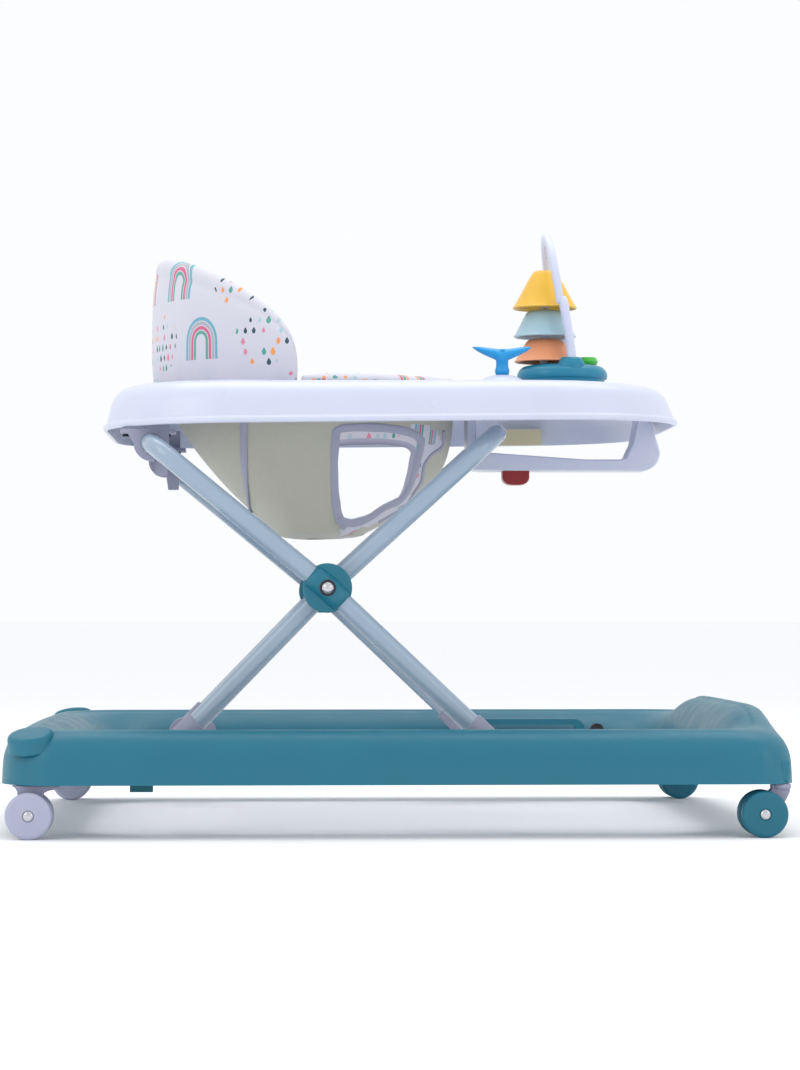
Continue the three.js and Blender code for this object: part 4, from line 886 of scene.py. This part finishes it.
shell = loft(skin, caps=False, uv=bag_uv)
shell["slots"] = {}
for index, face in enumerate(shell["faces"]):
    middle = sum((shell["verts"][i] for i in face), Vector()) / 4
    if inside_polygon(middle.x, middle.z, TURNOUT):
        shell["slots"][index] = 1
lining = loft(under_skin, caps=False, uv=bag_uv)
lining["slot"] = 1
top_rim = {"verts": skin[0] + under_skin[0],
           "faces": [(i, (i + 1) % COLUMNS, COLUMNS + (i + 1) % COLUMNS, COLUMNS + i) for i in range(COLUMNS)]}
bottoms = [{"verts": rings[-1], "faces": [tuple(range(COLUMNS))], "slot": 1} for rings in (skin, under_skin)]
seat = build("seat_cloth", [shell, lining, top_rim, *bottoms], LINING, "tray", ["seat_bag"],
             sharp=0, more=[PRINT])
weld = bmesh.new()
weld.from_mesh(seat.data)
bmesh.ops.remove_doubles(weld, verts=weld.verts, dist=0.00002)
bmesh.ops.recalc_face_normals(weld, faces=weld.faces)
weld.to_mesh(seat.data)
weld.free()
for name, side in SIDES.items():
    cutter = build(f"cutter_{name}", [plate([(p.x, p.y) for p in HOLE_CURVE], side * 30, side * 170)], PRINT,
                   "tray", sharp=0)
    cut = seat.modifiers.new("cut", "BOOLEAN")
    cut.operation = "DIFFERENCE"
    cut.solver = "EXACT"
    cut.object = cutter
    bpy.context.view_layer.update()
    done = bpy.data.meshes.new_from_object(seat.evaluated_get(bpy.context.evaluated_depsgraph_get()))
    seat.modifiers.clear()
    seat.data = done
    bpy.data.objects.remove(cutter)
seat.data.name = "seat_cloth"
seat.data.shade_smooth()
seat.data.set_sharp_from_angle(angle=radians(50))


def tape(line, width, thick, closed=False):
    """A binding tape laid on the cloth along a line of points, each with the way out of the cloth there."""
    path, ways = zip(*line)
    section = [(width * copysign(abs(cos(a)) ** 0.5, cos(a)), thick * sin(a))
               for a in around(12)]
    rings = []
    for index, point in enumerate(path):
        before = path[index - 1] if closed else path[max(index - 1, 0)]
        after = path[(index + 1) % len(path)] if closed else path[min(index + 1, len(path) - 1)]
        ahead = (after - before).normalized()
        across = ahead.cross(ways[index]).normalized()
        lift = across.cross(ahead)
        ripple = 1 + 0.06 * sin(index * 1.9) + 0.05 * sin(index * 0.7)
        rings.append([point + across * a * ripple + lift * b for a, b in section])
    return loft(rings, wrap=closed, caps=not closed, uv=lambda row, col: (row * 0.004, col * 0.0018))


# The open tapes, seen from the side, each with its half width: the turned-out edge, the rear seam, the crotch.
TAPES = [
    (rounded([(52, 372), (51, 357), (40, 348), (33, 338), (31.5, 325), (24, 312), (16, 300.5), (0, 290.5),
              (-10, 284.5)], 5), 2.3),
    (rounded([(-137, 402), (-137.5, 380), (-138, 350), (-137, 325), (-134, 300), (-127, 286)], 5), 3.9),
    (rounded([(-49, 288), (-46, 282.5), (-42, 279)], 4), 3.9)]
for name, side in SIDES.items():
    parts = [tape([on_bag(p.x, p.y, side, -0.8) for p in HOLE_CURVE[::2]], 4.2, 2, closed=True)]
    parts += [tape([on_bag(p.x, p.y, side, 0.3) for p in curve], width, 1.3) for curve, width in TAPES]
    build(f"seat_binding_{name}", parts, BINDING, "tray", sharp=0)

# ---- padded rim and back ----
rim_low, rim_high = box("seat_rim")
rim_z = (rim_high.z + rim_low.z) / 2
rim_rings = []
RIM_STEPS, RIM_SECTION = 90, 24
RIM_HALF_WIDTH, RIM_HALF_HEIGHT = 13.4, 6.4
for step in range(RIM_STEPS + 1):
    angle = radians(mix(-89, 89, step / RIM_STEPS))
    tuck = 1 - 0.45 * max(abs(step / RIM_STEPS - 0.5) * 2 - 0.9, 0) / 0.1
    pucker = 0.5 * sin(step * 1.15) + 0.35 * sin(step * 0.53 + 1)
    ring = []
    for k, turn in enumerate(around(RIM_SECTION)):
        out = RIM_HALF_WIDTH * copysign(abs(cos(turn)) ** 0.85, cos(turn)) * tuck
        up = RIM_HALF_HEIGHT * sin(turn) * tuck
        if up > 0:
            seam = 1.4 if k == RIM_SECTION // 4 else 0
            up += pucker * 0.6 * abs(cos(turn)) - seam
        out += pucker * 0.5 * (1 if out > 0 else -1)
        ring.append(Vector((SEAT_X + (OPEN_FRONT + 5 + out) * cos(angle),
                            (OPEN_SIDE + 5 + out) * sin(angle), rim_z + max(up, -6.2))))
    rim_rings.append(ring)
rim_pad = loft(rim_rings, uv=lambda row, col: (row * 0.0051, col * 0.0026 + 0.012))
rim = build("seat_edge_pad", [rim_pad], PRINT, "tray", ["seat_rim"], level=1, sharp=0)

BACK_LOW, BACK_HIGH = box("backrest")
back_floor = BACK_LOW.z + 0.2
BACK_STEPS, BACK_THICK = 110, 26
# The back's section, up its outside and down its inside: the share of its thickness, a height, and 1 where that
# height is measured from the top. The dips are the piping's seams.
RISE_UP = [(0.10, 0.4, 0), (0.0, 4, 0), (-0.05, 14, 0), (-0.09, 30, 0), (-0.10, -58, 1), (-0.07, -36, 1),
           (-0.01, -23, 1), (0.085, -17, 1), (0.03, -12.5, 1), (0.07, -7, 1), (0.2, -1.8, 1), (0.45, 0.3, 1),
           (0.7, -1.2, 1), (0.9, -6, 1), (0.98, -12.5, 1), (0.92, -17, 1), (1.0, -21, 1), (1.08, -34, 1),
           (1.12, -58, 1), (1.11, 30, 0), (1.06, 14, 0), (1.0, 5, 0), (0.9, 0.6, 0), (0.5, 0, 0)]
CREST = 11  # the section's highest point


def back_top(angle):
    """The back's height, from its two front ends to its middle."""
    return mix(434, BACK_HIGH.z, sqrt(max(cos(angle), 0)))


back_rings, back_us, run = [], [0], 0
for step in range(BACK_STEPS + 1):
    share = mix(-1, 1, step / BACK_STEPS)
    angle = radians(90 * share)
    top = back_top(angle)
    tall = top - back_floor
    squeeze = min(tall / 125, 1)
    thick = BACK_THICK * mix(1, 0.68, abs(share)) * (1 - 0.5 * max(abs(share) - 0.965, 0) / 0.035)
    ring = []
    for k, (out, rise, from_top) in enumerate(RISE_UP):
        z = top + rise * squeeze if from_top else back_floor + rise * squeeze
        if 0 < z - back_floor < tall * 0.85 and out < 0.3:
            pull = exp(-(z - back_floor) / 14)
            out += pull * (0.045 * sin(step * 0.62) + 0.03 * sin(step * 1.37 + 2))
            out += 0.1 * noise.noise(Vector((share * 5, z * 0.03, 3)))
        drop = 1.3 * sin(step * 0.31 + 0.6) if k in (1, 2) else 0
        ring.append(Vector((SEAT_X - (OPEN_REAR + 11 - out * thick - 1.2) * cos(angle),
                            (OPEN_SIDE + 4 - out * thick - 1.2) * sin(angle), max(z + drop, back_floor))))
    if step:
        run += (ring[3].xy - back_rings[-1][3].xy).length
        back_us.append(run)
    back_rings.append(ring)
BACK_UV = (0.0285, 0.0445)


def back_uv(row, col):
    """Cloth metres: along the curve, and up the outer face, where the height is the true height."""
    if col < len(RISE_UP):
        z = back_rings[row][col].z - back_floor
        tall = back_top(radians(90 * mix(-1, 1, row / BACK_STEPS))) - back_floor
        v = z if col <= CREST else 2 * tall - z
    else:
        v = 250
    return (back_us[row] * MM + BACK_UV[0], v * MM + BACK_UV[1])


back = build("back_pad", [loft(back_rings, uv=back_uv)], PRINT, "tray", ["backrest"], level=2,
             sharp=0)

# ---- toys ----
toy = centre("toy_base")
toy_low, toy_high = box("toy_base")
disc_r = (toy_high.x - toy_low.x) / 2
rod_x = centre("cup_top").x
lid = toy_high.z
dome = turned([(AXIS, toy_low.z), (disc_r - 4, toy_low.z), (disc_r - 3.2, lid - 17), (disc_r - 0.6, lid - 14),
               (disc_r, lid - 10.5), (disc_r - 1.6, lid - 6), (disc_r - 6, lid - 2.2), (disc_r - 14, lid - 0.7),
               (20, lid), (AXIS, lid)])
# A boss round each of the arch's feet.
boss = turned([(19.5, lid - 12), (18.8, lid - 3), (17.2, lid + 0.8), (14, lid + 5.2), (11.4, lid + 6.4),
               (4, lid + 6.6), (AXIS, lid + 6.6)])
feet_x = centre("leaf_ring").x - 18
parts = [lathe(dome, (toy.x, 0, 0), segments=72)]
for side in SIDES.values():
    parts.append(lathe([(r * 0.62, mix(lid, z, 0.8)) for r, z in boss], (feet_x - 1, side * 30, 0),
                       segments=40, stretch=(1.15, 1)))
build("toy_disc", parts, TEAL_TOY, "tray", ["toy_base"], sharp=50)

for node, material, slot in (("cup_bottom", ORANGE, "cup_orange"), ("cup_middle", MINT, "cup_mint"),
                             ("cup_top", YELLOW, "cup_yellow")):
    low, high = box(node)
    r, rise = (high.x - low.x) / 2, high.z - low.z
    # The top cup is closed over the rod, which passes through the other two.
    neck, mouth, hollow = (11, AXIS, [(5.6, rise - 14), (5.6, rise - 3), (AXIS, rise - 3)]) \
        if node == "cup_top" else (17, 5.6, [(5.6, rise - 3)])
    bell = turned([(mouth, rise), (neck - 6, rise), (neck - 3, rise - 0.1), (neck - 1, rise - 0.8),
                   (neck + 1.6, rise - 3.4), (mix(neck, r, 0.4), rise * 0.6), (mix(neck, r, 0.72), rise * 0.27),
                   (r - 0.9, 1.8), (r, 0.7), (r - 0.6, 0.1), (r - 2, 0.2),
                   (mix(neck, r, 0.7) - 2.6, rise * 0.25), (mix(neck, r, 0.38) - 2.6, rise * 0.56),
                   (neck - 2.4, rise - 7), (neck - 4, rise - 5), *hollow])
    part = lathe([(radius, low.z + height) for radius, height in bell], (centre(node).x, 0, 0), segments=72)
    build(node.replace("cup", "bell"), [part], material, node, [node], sharp=60)

low, high = box("stack_rod")
rod = [(AXIS, low.z), (5, low.z), (5, high.z - 2), (4.4, high.z - 0.8), (3, high.z), (AXIS, high.z)]
build("spindle", [lathe(rod, (rod_x, 0, 0), segments=48)], WHITE_TOY, "tray", ["stack_rod"],
      sharp=60)

arch_low, arch_high = box("toy_arch")
foot_z = arch_low.z
SLEEVE_TOP = 503  # the thicker lower part of each leg ends here


def arch_place(y, z):
    """A point of the arch at one height: it leans from its feet to the rod."""
    share = max((z - foot_z) / (arch_high.z - 4 - foot_z), 0)
    return Vector((mix(feet_x, rod_x + 1, share ** 0.8), y, z))


def flat_section(wide, deep):
    """A rounded rectangle of (across, up) points."""
    return [tuple(size * copysign(abs(part) ** 0.75, part)
                  for size, part in ((deep, cos(a)), (wide, sin(a)))) for a in around(20)]


def arch_path(low_z):
    shoulder = arch_high.z - 50
    path = [arch_place(39 * cos(a), shoulder + 43.5 * sin(a)) for a in
            (pi * i / 40 for i in range(41))]
    for z in (shoulder - 14, shoulder - 24, low_z):
        y = mix(39, 31, min(max((shoulder - z) / (shoulder - foot_z), 0), 1))
        path = [arch_place(y, z)] + path + [arch_place(-y, z)]
    return path


parts = [sweep(arch_path(SLEEVE_TOP - 6), flat_section(3.9, 5.6), Vector((1, 0, 0.3)))]
for side in SIDES.values():
    leg = [arch_place(side * mix(31, 38.4, t), mix(foot_z, SLEEVE_TOP, t)) + Vector((3.2, 0, 0)) * min(t * 3, 1)
           for t in (0, 0.1, 0.25, 0.45, 0.65, 0.85, 0.95, 1)]
    sizes = [1.15, 1.05, 1, 0.96, 1, 1.06, 1, 0.55]
    parts.append(sweep(leg, lambda i: [(a * sizes[i], b * sizes[i]) for a, b in flat_section(4.4, 6.2)],
                       Vector((1, 0, 0))))
build("toy_hoop", parts, WHITE_TOY, "tray", ["toy_arch"], level=1, sharp=60)

w_low = box("whale_dome")[0].z
w = centre("whale_dome")
mound = turned([(AXIS, w_low), (24, w_low), (23.8, w_low + 4), (21.6, w_low + 9), (16.8, w_low + 13),
                (11, w_low + 15.3), (8.6, w_low + 15.6), (7.7, w_low + 14)])
mound += [(7.6, w_low + 11), (AXIS, w_low + 9)]
build("whale_mound", [lathe(mound, (w.x, w.y, 0), segments=64)], WHITE_TOY, "tray", ["whale_dome"],
      sharp=60)
# The tail: a stem with seven ribs, and two flukes that meet over it.
t_low, t_high = (corner.z for corner in box("whale_tail"))
profile = turned([(AXIS, t_low), (5, t_low + 2), (6.9, t_low + 7), (5.8, t_low + 11)])
for k in range(7):
    z = t_low + 12 + k * 1.9
    profile += [(5.9, z), (5.9, z + 1.1), (5.5, z + 1.4), (5.5, z + 1.8)]
profile += [(5.9, t_low + 26), (5, t_low + 28), (AXIS, t_low + 28)]
fluke_rings = []
for i in range(33):
    s = mix(-1, 1, i / 32)
    reach = abs(s)
    mid_z = t_high - 9.6 + 8.2 * reach ** 1.25
    half_z = max(4.6 * (1 - reach) ** 0.9 + 1.7 * (1 - reach ** 8), 0.25)
    half_y = max(7.6 * (1 - reach ** 3.2) ** 0.5, 0.4)
    if reach < 0.25:
        half_z += 3 * ((0.25 - reach) / 0.25) ** 2
        mid_z -= 3.4 * ((0.25 - reach) / 0.25) ** 2
    sweep_back = 4 * reach ** 2
    fluke_rings.append([Vector((w.x + 28 * s, w.y + sweep_back + half_y * cos(a),
                                mid_z + half_z * sin(a))) for a in around(20)])
build("tail_toy", [lathe(profile, (w.x, w.y, 0), segments=48), loft(fluke_rings)], BLUE, "whale_tail",
      ["whale_tail"], level=1, sharp=60)

# ---- CAD nodes that stay, with better finishes ----
finishes = {"leaf_ring": GREEN, "strap_anchor": BEIGE}
for name in SIDES:
    # The bracket screws get the black rubber finish as painted shade: black stands in for the shaded screw holes
    # under the tray.
    for node, material in (("rear_foot_bracket", GREY), ("front_foot_track", TEAL), ("track_bumper", BLACK),
                           ("stopper", DARK_TEAL), ("rear_tube_bracket", GREY), ("bracket_screw_rear", BLACK),
                           ("bracket_screw_front", BLACK)):
        finishes[f"{node}_{name}"] = material
for node, material in finishes.items():
    frame["nodes"][node].material_slots[0].material = material

# ---- floor, light and camera ----
floor_mesh = bpy.data.meshes.new("floor")
FLOOR = 60  # metres each way, so that its edge is at the horizon
floor_mesh.from_pydata([(-FLOOR, -FLOOR, 0), (FLOOR, -FLOOR, 0), (FLOOR, FLOOR, 0), (-FLOOR, FLOOR, 0)], [],
                       [(0, 1, 2, 3)])
floor = bpy.data.objects.new("floor", floor_mesh)
bpy.context.scene.collection.objects.link(floor)
floor_material, _, floor_shader = surface("floor_paper", Roughness=0.9)
floor_shader.inputs["Base Color"].default_value = linear("fbfbfd")
floor_mesh.materials.append(floor_material)

world = bpy.data.worlds.new("studio")
bpy.context.scene.world = world
world.use_nodes = True
world.node_tree.nodes["Background"].inputs[0].default_value = (0.97, 0.985, 1.0, 1)
world.node_tree.nodes["Background"].inputs[1].default_value = 1.0
bpy.context.scene.view_settings.view_transform = "Standard"


def lamp(name, at, target, size, power):
    data = bpy.data.lights.new(name, "AREA")
    data.shape = "RECTANGLE"
    data.size, data.size_y = size
    data.energy = power
    light = bpy.data.objects.new(name, data)
    light.location = at
    light.rotation_euler = (Vector(target) - Vector(at)).to_track_quat("-Z", "Y").to_euler()
    bpy.context.scene.collection.objects.link(light)


lamp("top_light", (0.1, 0.3, 2.2), (0, 0, 0.25), (2.2, 1.6), 20)
lamp("left_light", (-2.0, -1.6, 1.5), (-0.1, 0, 0.3), (1.2, 1.6), 9)
lamp("front_light", (1.9, -1.8, 1.2), (0.1, 0, 0.3), (1.0, 1.4), 5)

camera_data = bpy.data.cameras.new("camera")
camera_data.sensor_fit = "VERTICAL"
camera_data.sensor_height = 36
camera_data.lens = 103.9
camera = bpy.data.objects.new("camera", camera_data)
camera.location = (-0.110, -3.000, 0.198)
camera.rotation_euler = (radians(91.43), 0, radians(-2.34))
bpy.context.scene.collection.objects.link(camera)
bpy.context.scene.camera = camera

bpy.context.view_layer.update()
